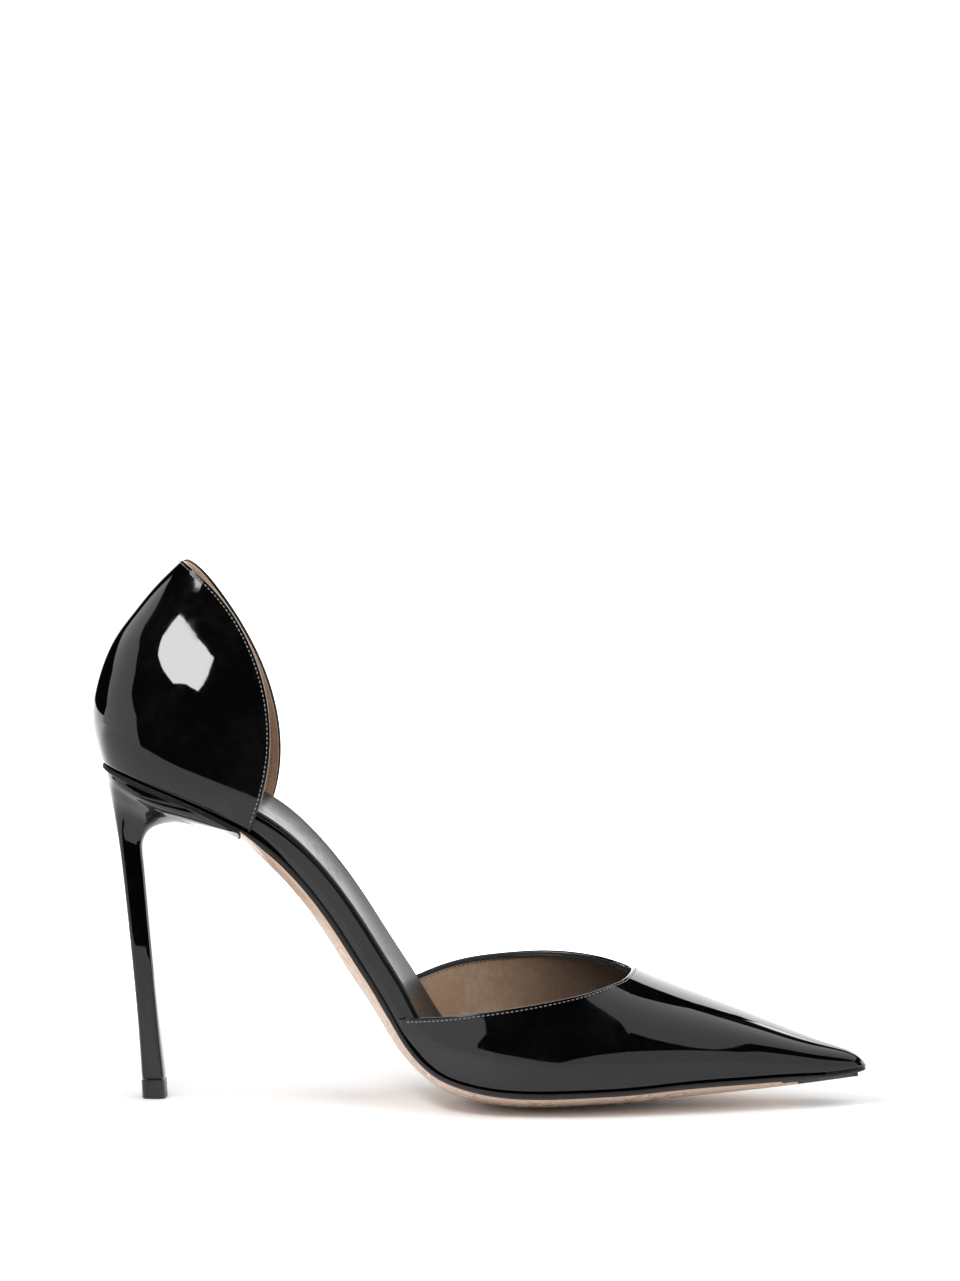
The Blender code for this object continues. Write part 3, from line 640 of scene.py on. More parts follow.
threadFinish = {
    "sockets": {"Specular IOR Level": 0.6, "Sheen Weight": 0.2},
    # a dark thread whose greys are lifted above black as painted highlight for the stitches' glints
    "colours": ((0.10, 0.10, 0.10), (0.2, 0.198, 0.195)), "roughness": (0.2, 0.3),
    "twistScale": 5200.0, "twistDepth": 2e-5,
}


def makeThread():
    material, tree, shader, place = newMaterial("darkThreadPaintedGlints", threadFinish["sockets"])
    twist = noiseNode(tree, place, threadFinish["twistScale"])
    setLook(tree, shader, mixColours(tree, twist, *threadFinish["colours"]),
            rangeNode(tree, twist, 0.0, 1.0, *threadFinish["roughness"]))
    bumpChain(tree, shader, (twist, threadFinish["twistDepth"]))
    return material


upperPatent, coverPatent = makePatent("upperPatent"), makePatent("coverPatent", sewn=False, ripple=0.5)
liningLeather, sockLeather = makeLiningLeather(), makeSockLeather()
soleLeather, liftPlastic, darkThreadPaintedGlints = makeSoleLeather(), makeLiftPlastic(), makeThread()
print("finishes ready")


# Upper: patent skins with rolled feet and folded edges, linings and stitching
wallSizes = {
    "footRadius": 0.9, "footTuck": 1.1, "footMost": 0.3, "footColumns": 6, "patentThick": 0.4,
    "foldSteps": 12, "flapSteps": 4, "liningThick": 0.4, "liningToeGap": 9.0,
}
vampEdge = {"rise": 0.5, "depth": 1.3, "flap": 0.9, "liningDepth": 1.15, "insideLine": 1.5}
quarterEdge = {"rise": 0.4, "depth": 1.0, "flap": 0.0, "liningDepth": 1.45, "liningDrop": 0.25,
               "insideLine": 2.0}


def wallProfile(start, tops, scale, columns):
    # steps up a wall that rolls in under its foot, and the inward tuck at each in millimetres
    turn = np.linspace(0.0, math.pi / 2, wallSizes["footColumns"] + 1)
    low = start[:, None] * np.concatenate([[0.0], 1.0 - np.cos(turn)])
    wall = start[:, None] + (tops - start)[:, None] * np.linspace(0.0, 1.0, columns + 1)[1:]
    tuck = wallSizes["footRadius"] * (1.0 - np.sin(turn))
    tuck = np.concatenate([[wallSizes["footRadius"] + wallSizes["footTuck"]], tuck])
    return np.concatenate([low, wall], axis=1), np.concatenate([scale[:, None] * tuck, 0.0 * wall], axis=1)


def foldStrip(edge, normals, sizes):
    # rounds the wall's edge over to the inside, and hangs a short flap there
    tangent = unit(np.gradient(edge, axis=0))
    up = unit(np.cross(normals, tangent))
    half = sizes["depth"] / 2
    columns = [edge + up * sizes["rise"] * math.sin(turn) - normals * half * (1.0 - math.cos(turn))
               for turn in np.linspace(0.0, math.pi, wallSizes["foldSteps"] + 1)]
    if sizes["flap"]:
        columns += [columns[-1] - (0.0, 0.0, drop)
                    for drop in np.linspace(0.0, sizes["flap"], wallSizes["flapSteps"] + 1)[1:]]
    return np.stack(columns, axis=1), up


def markGap(bm, line, upShare=1.0):
    # keeps each vertex's distance from an edge, in millimetres, or in plan when upShare is 0
    layer = bm.verts.layers.float.new("edgeGap")
    places = np.array([v.co for v in bm.verts]) / mm + lastMiddle
    for vert, gap in zip(bm.verts, distanceTo(places * (1.0, 1.0, upShare), line)):
        vert[layer] = gap


def addUpper(name, bm, lining, inside, edge):
    # the patent skin, which stands for the node of that name, and its lining
    for shell in (bm, lining):
        faceOutwards(shell, inside)
    markGap(bm, edge)
    surfaces = BVHTree.FromBMesh(bm), BVHTree.FromBMesh(lining)
    thicken(addPiece(name + "Patent", bm, upperPatent, name), wallSizes["patentThick"])
    thicken(addPiece(name + "Lining", lining, liningLeather), wallSizes["liningThick"], 1.0)
    return surfaces


vampSizes = {"wingRows": 120, "toeRows": 110, "wallColumns": 40, "wingPower": 2.0, "toePower": 1.8,
             "shareStep": 0.02, "inside": (165.0, 2.0, 12.0)}


def vampStations(side):
    throat, toe = lastSizes["throat"], lastSizes["toe"][0]
    start = wingStart(side)
    wing = start + (throat - start) * evenSteps(vampSizes["wingRows"], vampSizes["wingPower"])
    front = throat + (toe - throat) * evenSteps(vampSizes["toeRows"], vampSizes["toePower"])
    return np.concatenate([wing, front[1:]])


def vampSkin(side):
    x = vampStations(side)
    tops = collarShare(side, x)
    tops[0] = 0.0
    small = vampSizes["shareStep"]
    rise = np.linalg.norm(vampPoint(side, x, small) - vampPoint(side, x, 0.0), axis=-1)
    perMm = small / np.maximum(rise, 1e-6)
    start = np.minimum(wallSizes["footRadius"] * perMm, wallSizes["footMost"] * tops)
    scale = start / (wallSizes["footRadius"] * perMm)
    shares, tucks = wallProfile(start, tops, scale, vampSizes["wallColumns"])
    points, normals = vampPoint(side, x[:, None], shares), vampNormal(side, x[:, None], shares)
    return points, normals, tucks


def makeVamp():
    skins = {side: vampSkin(side) for side in (lateral, medial)}
    wing = vampSizes["wingRows"] + 1
    ridgeNormals = unit(skins[lateral][1][wing - 1:, -1] + skins[medial][1][wing - 1:, -1])
    for side in skins:
        skins[side][1][wing - 1:, -1] = ridgeNormals
    bm, lining = bmesh.new(), bmesh.new()
    edges, edgeNormals = {}, {}
    for side, (points, normals, tucks) in skins.items():
        outer = points + normals * (creaseOffset(points) - tucks)[..., None]
        addGrid(bm, outer)
        edges[side], edgeNormals[side] = outer[:wing, -1], normals[:wing, -1]
        inner = points - normals * vampEdge["liningDepth"]
        short = points[:, 0, 0] < lastSizes["toe"][0] - wallSizes["liningToeGap"]
        addGrid(lining, inner[short][:, wallSizes["footColumns"] + 1:])
    edge = np.concatenate([edges[lateral], edges[medial][-2::-1]])
    normals = np.concatenate([edgeNormals[lateral], edgeNormals[medial][-2::-1]])
    fold, up = foldStrip(edge, normals, vampEdge)
    crest = wallSizes["foldSteps"] // 2 + 1
    addGrid(bm, fold[:, :crest + 1])
    insideMark = bm.verts.layers.float.new("inside")
    for vert in addGrid(bm, fold[:, crest:]):
        vert[insideMark] = 1.0
    return edge, normals, up, addUpper("vamp", bm, lining, vampSizes["inside"], edge)


creaseRows = (  # x, y, z of each soft dent, its half length along the shoe, half height, and its depth
    (131.0, -36.0, 15.0, 9.0, 5.0, 0.10),
    (112.0, -33.0, 20.0, 12.0, 3.5, -0.05),
    (136.0, 37.0, 16.0, 10.0, 5.0, 0.09),
    (150.0, 36.0, 23.0, 13.0, 4.0, 0.05),
    (116.0, 33.0, 22.0, 12.0, 4.0, -0.05),
)


def creaseOffset(points):
    offset = np.zeros(points.shape[:-1])
    for x, y, z, long, high, depth in creaseRows:
        reach = ((points[..., 0] - x) / long) ** 2 + ((points[..., 2] - z) / high) ** 2
        reach = reach + ((points[..., 1] - y) / (long + high)) ** 2
        offset -= depth * np.exp(-reach)
    return offset


quarterSizes = {"columns": 110, "columnPower": 1.4, "wallRows": 60, "inside": (30.0, 0.0, 125.0),
                "flatTop": 0.05, "searchReach": (5.0, 60.0)}


def quarterPath():
    # round the heel's bottom edge from the medial front corner to the lateral one
    branches = {}
    for side in (lateral, medial):
        half = halfOutline(side)
        half = half[half[:, 0] < quarterSizes["searchReach"][1]]
        along = unit(np.gradient(half, axis=0))
        outward = np.stack([along[:, 1], -along[:, 0]], axis=1) * -side
        reach = lengthsAlong(half)

        def at(distance):
            place, way = (np.stack([np.interp(distance, reach, line[:, k]) for k in (0, 1)], axis=-1)
                          for line in (half, outward))
            return place, unit(way)

        front = crossing(lambda d: quarterSizes["flatTop"] - toplineHeight(*at(d)),
                         quarterSizes["searchReach"][0], reach[-1])
        distance = front * evenSteps(quarterSizes["columns"], quarterSizes["columnPower"])
        places, directions = at(distance)
        tops = toplineHeight(places, directions)
        tops[-1] = 0.0
        branches[side] = places, directions, tops
    return [np.concatenate([m[::-1], l[1:]]) for m, l in zip(branches[medial], branches[lateral])]


def cupNormal(places, directions, heights, step=0.05):
    rise = cupPoint(places, directions, heights + step) - cupPoint(places, directions, heights - step)
    rows = np.arange(len(places))
    later, earlier = np.minimum(rows + 1, rows[-1]), np.maximum(rows - 1, 0)
    ahead, behind = (cupPoint(places[row], directions[row], heights) for row in (later, earlier))
    normals = unit(np.cross(ahead - behind, rise))
    outward = np.sign(np.sum(normals[..., :2] * directions, axis=-1, keepdims=True))
    return normals * outward


def makeQuarter():
    places, directions, tops = quarterPath()
    start = np.minimum(wallSizes["footRadius"], wallSizes["footMost"] * tops)
    heights, tucks = wallProfile(start, tops, start / wallSizes["footRadius"], quarterSizes["wallRows"])
    spots, ways = (line[:, None, :] + 0.0 * heights[..., None] for line in (places, directions))
    points, normals = cupPoint(spots, ways, heights), cupNormal(spots, ways, heights)
    below = np.clip(heights, 0.0, np.maximum(tops - quarterEdge["liningDrop"], 0.0)[:, None])
    inner = cupPoint(spots, ways, below) - cupNormal(spots, ways, below) * quarterEdge["liningDepth"]
    bm, lining = bmesh.new(), bmesh.new()
    outer = points - normals * tucks[..., None]
    addGrid(bm, outer)
    edge, edgeNormals = outer[:, -1], normals[:, -1]
    fold, up = foldStrip(edge, edgeNormals, quarterEdge)
    addGrid(bm, fold)
    addGrid(lining, inner[:, wallSizes["footColumns"] + 1:])
    return edge, edgeNormals, up, addUpper("quarter", bm, lining, quarterSizes["inside"], edge)


stitchSizes = {"pitch": 1.42, "length": 1.02, "thread": 0.2, "sunk": 0.03, "outsideLine": 0.6,
               "endClear": 2.5, "segments": 8, "rings": 5}


def addStitches(name, sizes, edge, normals, up, surfaces):
    # a row of lockstitches along the edge on the outside, and one on the lining inside
    reach = lengthsAlong(edge)
    clear = stitchSizes["endClear"]
    count = int((reach[-1] - 2 * clear) / stitchSizes["pitch"])
    bm = bmesh.new()
    drops = stitchSizes["outsideLine"], sizes["insideLine"]
    for depth, drop, surface in zip((0.0, sizes["liningDepth"]), drops, surfaces):
        line = edge - up * drop - normals * depth
        for i in range(count):
            ends = []
            for offset in (-0.5, 0.5):
                distance = clear + (i + 0.5) * stitchSizes["pitch"] + offset * stitchSizes["length"]
                spot = np.array([np.interp(distance, reach, line[:, k]) for k in range(3)])
                ends.append(surface.find_nearest(Vector(toFrame(spot))))
            (first, away, _, _), (second, _, _, _) = ends
            outward = away if depth == 0.0 else -away
            along = second - first
            across = along.cross(outward).normalized()
            high = across.cross(along).normalized()
            thread = stitchSizes["thread"] * mm
            axes = along.normalized() * along.length / 2, across * thread, high * thread
            turn = Matrix(axes).transposed().to_4x4()
            middle = (first + second) / 2 - high * stitchSizes["sunk"] * mm
            bmesh.ops.create_uvsphere(
                bm, u_segments=stitchSizes["segments"], v_segments=stitchSizes["rings"], radius=1.0,
                matrix=Matrix.Translation(middle) @ turn)
    bmesh.ops.recalc_face_normals(bm, faces=bm.faces)
    addPiece(name, bm, darkThreadPaintedGlints)


addStitches("vampStitches", vampEdge, *makeVamp())
addStitches("quarterStitches", quarterEdge, *makeQuarter())


# Bottom: layers cut to the last's outline
layerSizes = {"stations": 260, "across": 24, "insetReach": 12.0, "insetSteps": 49, "gap": 0.3}


def layerStations(start, end):
    turn = np.linspace(0.0, math.pi, layerSizes["stations"] + 1)
    return start + (end - start) * 0.5 * (1.0 - np.cos(turn))


def layerEdges(stations):
    # x, lateral y and medial y of the outline at each station, for any inset
    insets = np.linspace(0.0, layerSizes["insetReach"], layerSizes["insetSteps"])
    table = []
    for inset in insets:
        x = np.clip(stations, lastSizes["heelBack"] + inset, lastSizes["toe"][0] - inset)
        table.append((x, edgeY(lateral, x, inset), edgeY(medial, x, inset)))
    table = np.array(table)

    def at(inset):
        place = np.clip(inset / layerSizes["insetReach"], 0.0, 1.0) * (len(insets) - 1)
        low = np.minimum(place.astype(int), len(insets) - 2)
        share, row = place - low, np.arange(len(stations))
        return [table[low, k, row] * (1.0 - share) + table[low + 1, k, row] * share for k in range(3)]

    return at


def layerRings(stations, corners, closeStart, closeEnd):
    # corners: (across, inset, height) of each corner of the section, as numbers or arrays over stations
    at = layerEdges(stations)
    spread = np.ones(len(stations))
    spread[0], spread[-1] = 0.0 if closeStart else 1.0, 0.0 if closeEnd else 1.0
    columns = []
    for across, inset, height in corners:
        x, low, high = at(inset + 0.0 * stations)
        y = 0.5 * (low + high) + across * spread * 0.5 * (high - low)
        columns.append(lastPoint(x, y, height))
    rings = np.stack(columns, axis=1)
    ends = [np.repeat(rings[k].mean(0)[None, None], rings.shape[1], 1) for k in (0, -1)]
    rings = rings if closeStart else np.concatenate([ends[0], rings])
    return rings if closeEnd else np.concatenate([rings, ends[1]])


def layerMesh(rings, label=None, marks=None):
    # a closed piece through the rings; marks gives a named value for each point of them
    bm = bmesh.new()
    layer = bm.verts.layers.float.new(label) if label else None
    verts = addGrid(bm, rings, closed=True)
    if label:
        columns = rings.shape[1] + 1
        for i, vert in enumerate(verts):
            vert[layer] = marks[i // columns, i % columns % rings.shape[1]]
    weld(bm)
    if bm.calc_volume(signed=True) < 0:
        bmesh.ops.reverse_faces(bm, faces=bm.faces)
    return bm


def roundCorner(soft, steps):
    # how far in and how far down round an edge, from the flat above to the side
    turn = np.linspace(0.0, math.pi / 2, steps + 1)
    return list(zip(soft * (1.0 - np.sin(turn)), soft * (1.0 - np.cos(turn))))


def sheetCorners(inset, low, high, soft, steps=4):
    # a sheet's section with rounded upper edges
    rounded = [(inset + reach, high - drop) for reach, drop in roundCorner(soft, steps)[::-1]]
    across = np.linspace(-1.0, 1.0, layerSizes["across"] + 1)
    top = [(-1.0, place, height) for place, height in rounded]
    top += [(share, inset + soft, high) for share in across[1:-1]]
    top += [(1.0, place, height) for place, height in rounded[::-1]]
    return [*top, *[(share, inset, low) for share in across[::-1]]]


def sheetStations(sizes):
    return layerStations(lastSizes["heelBack"] + sizes["inset"] + sizes["startClear"], sizes["toe"])


boardSizes = {"inset": 2.0, "toe": 219.0, "soft": 0.8, "startClear": 0.1}


def makeBoard():
    stations = sheetStations(boardSizes)
    corners = sheetCorners(boardSizes["inset"], 0.0, bottomAt["boardThick"](stations), boardSizes["soft"])
    bm = layerMesh(layerRings(stations, corners, True, False))
    addPiece("insoleBoard", bm, coverPatent, "insole_board")


sockSizes = {"inset": 2.9, "thick": 0.9, "toe": 216.0, "soft": 0.35, "startClear": 0.1, "rimEvery": 4}


def makeSock():
    stations = sheetStations(sockSizes)
    low = bottomAt["boardThick"](stations) + layerSizes["gap"]
    corners = sheetCorners(sockSizes["inset"], low, low + sockSizes["thick"], sockSizes["soft"])
    bm = layerMesh(layerRings(stations, corners, True, False))
    rim = np.concatenate([halfOutline(side, sockSizes["inset"])[::sockSizes["rimEvery"]]
                          for side in (lateral, medial)])
    markGap(bm, np.concatenate([rim, 0.0 * rim[:, :1]], axis=1), 0.0)
    addPiece("sockCover", bm, sockLeather, "sock")


soleSizes = {
    "start": 45.6, "startBlend": (45.6, 53.0), "startShare": 0.4, "toeClear": 0.25,
    "thickForefoot": 3.5, "thickWaist": 3.3, "frontBlend": (80.0, 104.0), "rimSteps": 18,
    "tuckAt": (48.0, 60.0, 92.0, 110.0), "tuck": (0.8, 1.8, 1.8, 0.0),
    "paintDown": (0.5, 0.42), "paintSoft": 0.05, "tanTo": (206.0, 222.0), "toePaint": 2.0,
    "thinAt": (80.0, 90.0, 98.0, 106.0, 114.0, 128.0, 140.0, 163.0, 200.0, 231.0),
    "thin": (1.0, 0.8, 0.62, 0.66, 0.8, 1.0, 1.0, 0.88, 0.74, 0.7),
    "rimForefoot": ((0.2, 0.0), (0.0, 0.14), (0.2, 0.26), (0.9, 0.38), (2.6, 0.47)),
    "rimWaist": ((0.2, 0.0), (0.0, 0.2), (0.5, 0.45), (2.6, 0.66), (6.0, 0.84)),
}


def makeOutsole():
    stations = layerStations(soleSizes["start"], lastSizes["toe"][0] - soleSizes["toeClear"])
    front = np.interp(stations, soleSizes["frontBlend"], (0.0, 1.0))
    front = front * front * (3.0 - 2.0 * front)
    thick = soleSizes["thickWaist"] + (soleSizes["thickForefoot"] - soleSizes["thickWaist"]) * front
    thick = thick * np.interp(stations, soleSizes["startBlend"], (soleSizes["startShare"], 1.0))
    thick = thick * np.interp(stations, soleSizes["thinAt"], soleSizes["thin"])
    tuck = np.interp(stations, soleSizes["tuckAt"], soleSizes["tuck"])
    waist, forefoot = (denseCurve(soleSizes[key], soleSizes["rimSteps"])[..., None]
                       for key in ("rimWaist", "rimForefoot"))
    rim = [tuple(w * (1.0 - front) + f * front) for w, f in zip(waist, forefoot)]
    across = np.linspace(-1.0, 1.0, layerSizes["across"] + 1)[1:-1]
    gap, (reach, depth) = layerSizes["gap"], rim[-1]
    corners = [(share, tuck + rim[0][0], -gap) for share in across]
    corners += [(1.0, tuck + inset, -gap - thick * down) for inset, down in rim]
    corners += [(share, tuck + reach, -gap - thick * (1.0 - (1.0 - depth) * share * share))
                for share in across[::-1]]
    corners += [(-1.0, tuck + inset, -gap - thick * down) for inset, down in rim[::-1]]
    rings = layerRings(stations, corners, False, True)
    rings[..., 2] = np.maximum(rings[..., 2], 0.0)
    flat = np.ones_like(stations)
    down = [0.0 * flat for _ in across] + [flat * share for _, share in rim]
    down += [flat for _ in across] + [flat * share for _, share in rim[::-1]]
    edge = soleSizes["paintDown"][0] + (soleSizes["paintDown"][1] - soleSizes["paintDown"][0]) * front
    edge = edge + np.interp(stations, soleSizes["tanTo"], (0.0, soleSizes["toePaint"]))
    paint = np.clip(0.5 + (edge[:, None] - np.stack(down, axis=1)) / soleSizes["paintSoft"], 0.0, 1.0)
    bm = layerMesh(rings, "edgePaint", np.concatenate([paint[:1], paint]))
    addPiece("outsoleLeather", bm, soleLeather, "outsole")


makeBoard()
makeSock()
makeOutsole()


# Heel
heelSizes = {
    "inset": 1.1, "front": 46.3, "seatCorner": 1.6, "rimThick": 1.5, "rimSoft": 0.4, "rimSteps": 4,
    "gap": 0.3, "rimBlend": 30.0, "shinyRows": 2, "seatShares": (0.0, 0.5, 0.9),
    "seatFront": ((0.6, 0.99), (0.95, 0.9), (1.0, 0.66), (1.0, 0.33)), "seatHalf": 23.0,
    "controls": 26, "around": 104, "down": 140, "squareness": (0.9, 0.5), "squareBy": 5.0,
    "levels": (  # back x, back z, front x, front z and half width of each level
        (3.9, 99.0, 39.5, 80.9, 21.6), (4.3, 96.6, 34.5, 81.8, 18.4), (4.9, 93.4, 28.4, 82.8, 15.0),
        (5.8, 89.0, 21.8, 82.6, 11.0), (6.8, 83.8, 17.2, 80.6, 8.4), (7.8, 77.4, 15.3, 76.6, 6.1),
        (8.7, 70.0, 15.6, 70.0, 5.05), (10.2, 56.0, 16.8, 56.0, 4.7), (11.9, 39.0, 18.3, 39.0, 4.45),
        (13.5, 21.0, 19.9, 21.0, 4.25), (14.5, 6.0, 21.4, 6.0, 4.3),
    ),
}


def seatRing():
    back, front, inset = lastSizes["heelBack"] + heelSizes["inset"], heelSizes["front"], heelSizes["inset"]
    corner = front - heelSizes["seatCorner"]
    halves = []
    for side in (lateral, medial):
        turns = np.linspace(0.0, math.pi / 2, heelSizes["controls"] // 2 - len(heelSizes["seatFront"]))[1:]
        x = back + (corner - back) * (1.0 - np.cos(turns))
        half = list(zip(x, edgeY(side, x, inset)))
        half += [(corner + heelSizes["seatCorner"] * reach, edgeY(side, corner, inset) * y)
                 for reach, y in heelSizes["seatFront"]]
        halves.append(half)
    return np.array([(back, 0.0), *halves[0], (front, 0.0), *halves[1][::-1]])


def heelLevel(level):
    backX, backZ, frontX, frontZ, half = heelSizes["levels"][level]
    square = np.interp(level, (0.0, heelSizes["squareBy"]), heelSizes["squareness"])
    turn = np.linspace(0.0, 2 * math.pi, heelSizes["controls"], endpoint=False)
    along = 0.5 * (1.0 - np.copysign(np.abs(np.cos(turn)) ** square, np.cos(turn)))
    across = -np.copysign(np.abs(np.sin(turn)) ** square, np.sin(turn))
    x, z = backX + (frontX - backX) * along, backZ + (frontZ - backZ) * along
    return np.stack([x, half * across, z], axis=1)


def roundRing(ring):
    # a closed smooth curve through a ring's points, cut finely
    wrap, count = 4, len(ring)
    knots = np.arange(-wrap, count + wrap + 1)
    t = np.arange(heelSizes["around"]) * count / heelSizes["around"]
    return np.stack([smoothCurve(knots, ring[knots % count, k])(t) for k in range(ring.shape[1])], axis=1)


def makeHeel():
    plan = roundRing(seatRing())
    middle = np.array([0.5 * (lastSizes["heelBack"] + heelSizes["front"]), 0.0])
    front = np.interp(plan[:, 0], (heelSizes["rimBlend"], heelSizes["front"]), (0.0, 1.0))
    side = 1.0 - np.minimum(1.0, np.abs(plan[:, 1]) / heelSizes["seatHalf"]) ** 2
    thick = heelSizes["rimThick"] + (soleSizes["thickWaist"] - heelSizes["rimThick"]) * front * side
    gap, corner = heelSizes["gap"], roundCorner(heelSizes["rimSoft"], heelSizes["rimSteps"])

    def rimRing(shrink, height):
        ring = plan - unit(plan - middle) * shrink
        return lastPoint(ring[:, 0], ring[:, 1], height)

    rings = [lastPoint(*(middle + (plan - middle) * share).T, -gap) for share in heelSizes["seatShares"]]
    rings += [rimRing(shrink, -gap - drop) for shrink, drop in corner]
    rings += [rimRing(shrink, -gap - thick + drop) for shrink, drop in corner[::-1]]
    rimRows = len(rings) - heelSizes["shinyRows"]
    body = np.array([rings[-1], *[roundRing(heelLevel(level)) for level in range(len(heelSizes["levels"]))]])
    rows = np.linspace(0.0, len(body) - 1.0, heelSizes["down"] + 1)[1:]
    levels = np.arange(len(body))
    weights = np.stack([smoothCurve(levels, one)(rows) for one in np.eye(len(body))])
    rings += list(np.einsum("kr,kpc->rpc", weights, body))
    rings.append(np.repeat(rings[-1].mean(0)[None], heelSizes["around"], 0))
    dull = np.zeros((len(rings), heelSizes["around"]))
    dull[:rimRows] = 1.0
    addPiece("heelCover", layerMesh(np.array(rings), "dull", dull), coverPatent, "heel")
    return body[-1]


liftSizes = {"height": 5.7, "overhang": 0.15, "lean": 0.3, "soft": 0.35, "softSteps": 4, "shut": 6.0}


def makeTopLift(foot):
    middle, high, shut = foot.mean(0), liftSizes["height"], liftSizes["shut"]
    wide = foot + unit((foot - middle) * (1.0, 1.0, 0.0)) * liftSizes["overhang"]
    corner = roundCorner(liftSizes["soft"], liftSizes["softSteps"])
    profile = [(shut, high), *[(shrink, high - drop) for shrink, drop in corner], *corner[::-1], (shut, 0.0)]
    rings = []
    for shrink, height in profile:
        reach = np.linalg.norm((wide - middle)[:, :2], axis=1)[:, None]
        ring = middle + (wide - middle) * np.maximum(1.0 - shrink / reach, 0.0)
        ring[:, 0] += liftSizes["lean"] * (1.0 - height / high)
        ring[:, 2] = height
        rings.append(ring)
    addPiece("topLift", layerMesh(np.array(rings)), liftPlastic, "top_lift")


makeTopLift(makeHeel())


# Studio: pale floor, white backdrop, light cards and the camera at the photograph's angle
studio = {
    "floor": {"corners": ((-5.0, -0.42), (5.0, 6.0)), "squares": 8,
              "sockets": {"Roughness": 0.6, "Specular IOR Level": 0.1, "Emission Strength": 1.0},
              "colours": ((0.92, 0.92, 0.92), (0.9108, 0.9108, 0.9108)), "speckle": 30.0,
              "glowFrom": (0.06, 0.4), "glow": 1.6},
    "world": {"white": 3.0, "dark": 0.004, "behind": (0.58, 0.66), "towards": (0.34, 0.94),
              "top": (0.36, 0.42)},
    "sun": {"power": 3.0, "angle": 80.0, "from": (2.0, -0.4, 2.4)},
    "cardAim": {"quarter": (-0.075, -0.02, 0.115), "vamp": (0.05, -0.03, 0.022),
                "wing": (0.0, -0.034, 0.016), "ridge": (0.064, 0.0, 0.034), "stem": (-0.103, 0.0, 0.059)},
    "cards": {  # where it is seen from, how far off, glow, and corners in degrees: towards the toe, and up
        "keyCard": ("quarter", 0.17, 18.0, (
            (-24.4, 41.7), (-12.5, 39.2), (-8.2, 38.6), (-6.9, 38.8), (-2.4, 37.3), (0.5, 35.3),
            (-3, 28.9), (-5.7, 24.8), (-8.6, 21.7), (-10.7, 22), (-13.8, 22.7), (-21.5, 21.6),
            (-26.3, 25.2), (-31.8, 30.9), (-35.1, 39.3), (-31.3, 40.4))),
        "peakCard": ("quarter", 1.5, 12.0, (
            (-80, 52.2), (-60, 52), (-45, 50.3), (-30, 46.5), (-14, 40.6), (-4, 37.2), (-4, 41),
            (-14, 46), (-30, 52), (-45, 56), (-80, 59))),
        "heelCard": ("quarter", 1.4, 1.4, (
            (-49, -14), (-44, 4), (-51, 11), (-52, 19), (-67, 32), (-89, 38), (-108, 39), (-125, 36),
            (-132, 33), (-135, 23), (-132, 21), (-107, 14), (-100, 4), (-118, -12))),
        "toeCard": ("vamp", 0.9, 1.0, (
            (1, -6), (6, -4), (12, -1.5), (18, 0.5), (26, 2.5), (32, 5.5), (39, 13), (44, 18.5),
            (48, 19.5), (55, 26), (62, 31.5), (69, 30.5), (80, 27), (92, 24), (92, -6))),
        "sideCard": ("vamp", 1.3, 1.1, (
            (48.5, 28), (46.5, 38), (46.5, 46), (54, 53), (68, 60.5), (77, 63.5), (93, 65.5),
            (110, 65.5), (125, 63), (143, 55.5), (149, 52), (154, 48), (158, 43), (161, 38),
            (160, 33.5), (138, 33), (98, 30), (93, 48), (83, 51), (74, 48), (64, 42), (51, 27.5))),
        "ridgeCard": ("vamp", 0.24, 1.4, (
            (187, -0.5), (187, 29), (168, 29.5), (166.5, 27.5), (165.8, 19.5), (161.5, 16), (154.5, 17),
            (154.5, -0.5))),
        "ridgeFlag": ("ridge", 0.068, 0.0, (
            (152.7, 11), (160, 62), (198, 62), (198, 36), (179.5, 32), (165.5, 26), (158.4, 14.5))),
        "stemFlag": ("stem", 0.05, 0.0, (
            (-52, -21), (-20, -23), (20, -21), (85, -23), (85, 14), (20, 16), (-10, 11), (-52, 12))),
        "waistCard": ("wing", 0.11, 1.25, (
            (-62, -5), (-10, -5), (-14, -3), (-18, -1), (-26, -1), (-25, 3), (-21, 7), (-17, 11),
            (-15, 18), (-15, 24), (-40, 28), (-62, 36))),
    },
}


def addStage(name, bm, material):
    thing = addMesh(name, bm, material)
    return thing


def makeFloor():
    sizes = studio["floor"]
    low, high = np.array(sizes["corners"])
    bm = bmesh.new()
    squares = sizes["squares"]
    for vert in bmesh.ops.create_grid(bm, x_segments=squares, y_segments=squares, size=0.5)["verts"]:
        vert.co.x, vert.co.y = low + (high - low) * (vert.co.x + 0.5, vert.co.y + 0.5)
    material, tree, shader, place = newMaterial("paleFloor", sizes["sockets"])
    speckle = noiseNode(tree, place, sizes["speckle"])
    tree.links.new(mixColours(tree, speckle, *sizes["colours"]), shader.inputs["Base Color"])
    # painted light: the floor glows, from nothing at y 0.06 m to full at 0.4 m behind the shoe, lifting the
    # shoe's shadow there
    glow = rangeNode(tree, axesOf(tree, place)["Y"], *sizes["glowFrom"], 0.0, sizes["glow"])
    tree.links.new(glow, shader.inputs["Emission Color"])
    addStage("floor", bm, material)


def wayTo(turn, up):
    # a direction turned from the outer side towards the toe, and raised
    return Vector((math.sin(turn) * math.cos(up), -math.cos(turn) * math.cos(up), math.sin(up)))


def makeCard(name, aim, reach, glow, corners):
    # a flat light, or a black flag, out of the camera's sight, which the gloss reflects
    bm = bmesh.new()
    verts = bmesh.ops.create_circle(bm, cap_ends=True, segments=len(corners), radius=1.0)["verts"]
    for vert, (turn, up) in zip(verts, np.radians(corners)):
        vert.co = Vector(studio["cardAim"][aim]) + wayTo(turn, up) * reach
    sockets = {"Base Color": (0.0, 0.0, 0.0), "Specular IOR Level": 0.0, "Emission Color": (1.0, 1.0, 1.0),
               "Emission Strength": glow}
    card = addStage(name, bm, newMaterial(name, sockets)[0])
    card.visible_camera, card.visible_shadow, card.visible_diffuse = False, False, glow > 0.0


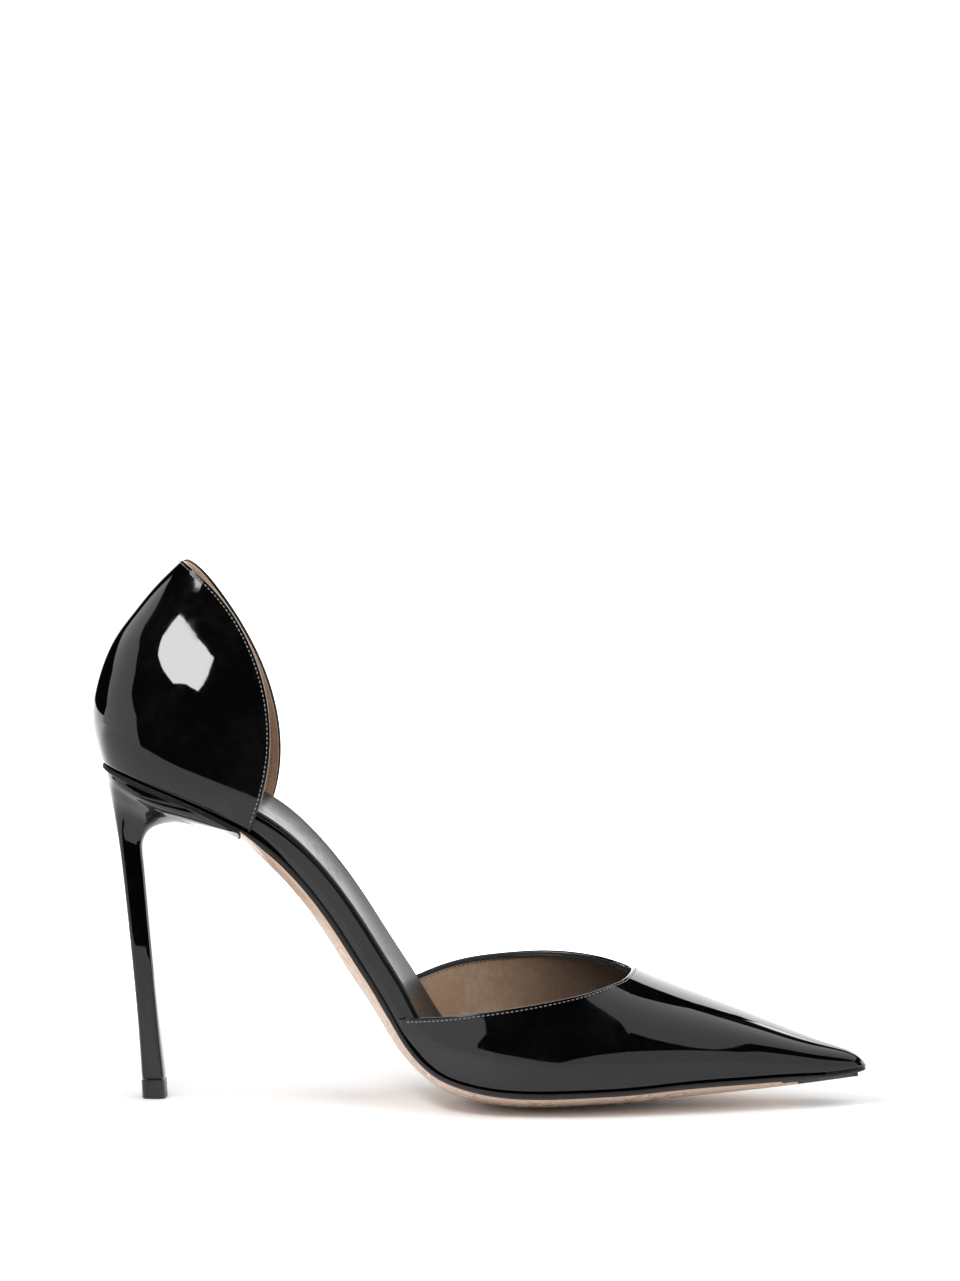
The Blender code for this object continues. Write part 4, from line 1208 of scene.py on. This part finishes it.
def makeWorld():
    sizes = studio["world"]
    world = bpy.data.worlds.new("studio")
    bpy.context.scene.world = world
    world.use_nodes = True
    tree = world.node_tree
    tree.nodes.clear()
    axes = axesOf(tree, tree.nodes.new("ShaderNodeTexCoord").outputs["Generated"])
    across, away = (mathNode(tree, "MULTIPLY", axes[name], share)
                    for name, share in zip("XY", sizes["towards"]))
    turned = mathNode(tree, "ADD", across, away)
    behind = rangeNode(tree, turned, *sizes["behind"], sizes["dark"], sizes["white"])
    below = rangeNode(tree, axes["Z"], *sizes["top"], 1.0, sizes["dark"])
    seen = tree.nodes.new("ShaderNodeLightPath").outputs["Is Camera Ray"]
    light = mathNode(tree, "MAXIMUM", mathNode(tree, "MULTIPLY", behind, below), seen)
    ground = newNode(tree, "ShaderNodeBackground", {"Color": (1.0, 1.0, 1.0), "Strength": light})
    newNode(tree, "ShaderNodeOutputWorld", {"Surface": ground.outputs["Background"]})


def standAt(thing, place, back):
    # back points away from what the thing is turned to
    thing.location = place
    thing.rotation_mode = "QUATERNION"
    thing.rotation_quaternion = back.to_track_quat("Z", "Y")


def makeSun():
    sizes = studio["sun"]
    lamp = bpy.data.lights.new("overhead", "SUN")
    lamp.energy, lamp.angle = sizes["power"], math.radians(sizes["angle"])
    sun = addObject("overhead", lamp)
    standAt(sun, sizes["from"], Vector(sizes["from"]))
    sun.visible_glossy = False


cameraSizes = {"place": (0.131431, -1.873366, 0.28231), "azimuth": math.radians(4.0),
               "pitch": math.radians(4.4), "lens": 177.99, "sensor": 36.0, "clip": (0.05, 60.0)}


def makeCamera():
    lens = bpy.data.cameras.new("photoView")
    lens.sensor_width, lens.lens = cameraSizes["sensor"], cameraSizes["lens"]
    lens.clip_start, lens.clip_end = cameraSizes["clip"]
    camera = addObject("photoView", lens)
    standAt(camera, cameraSizes["place"], wayTo(cameraSizes["azimuth"], cameraSizes["pitch"]))
    bpy.context.scene.camera = camera


makeFloor()
makeWorld()
for name, sizes in studio["cards"].items():
    makeCard(name, *sizes)
makeSun()
makeCamera()
bpy.context.scene.view_settings.view_transform = "Standard"
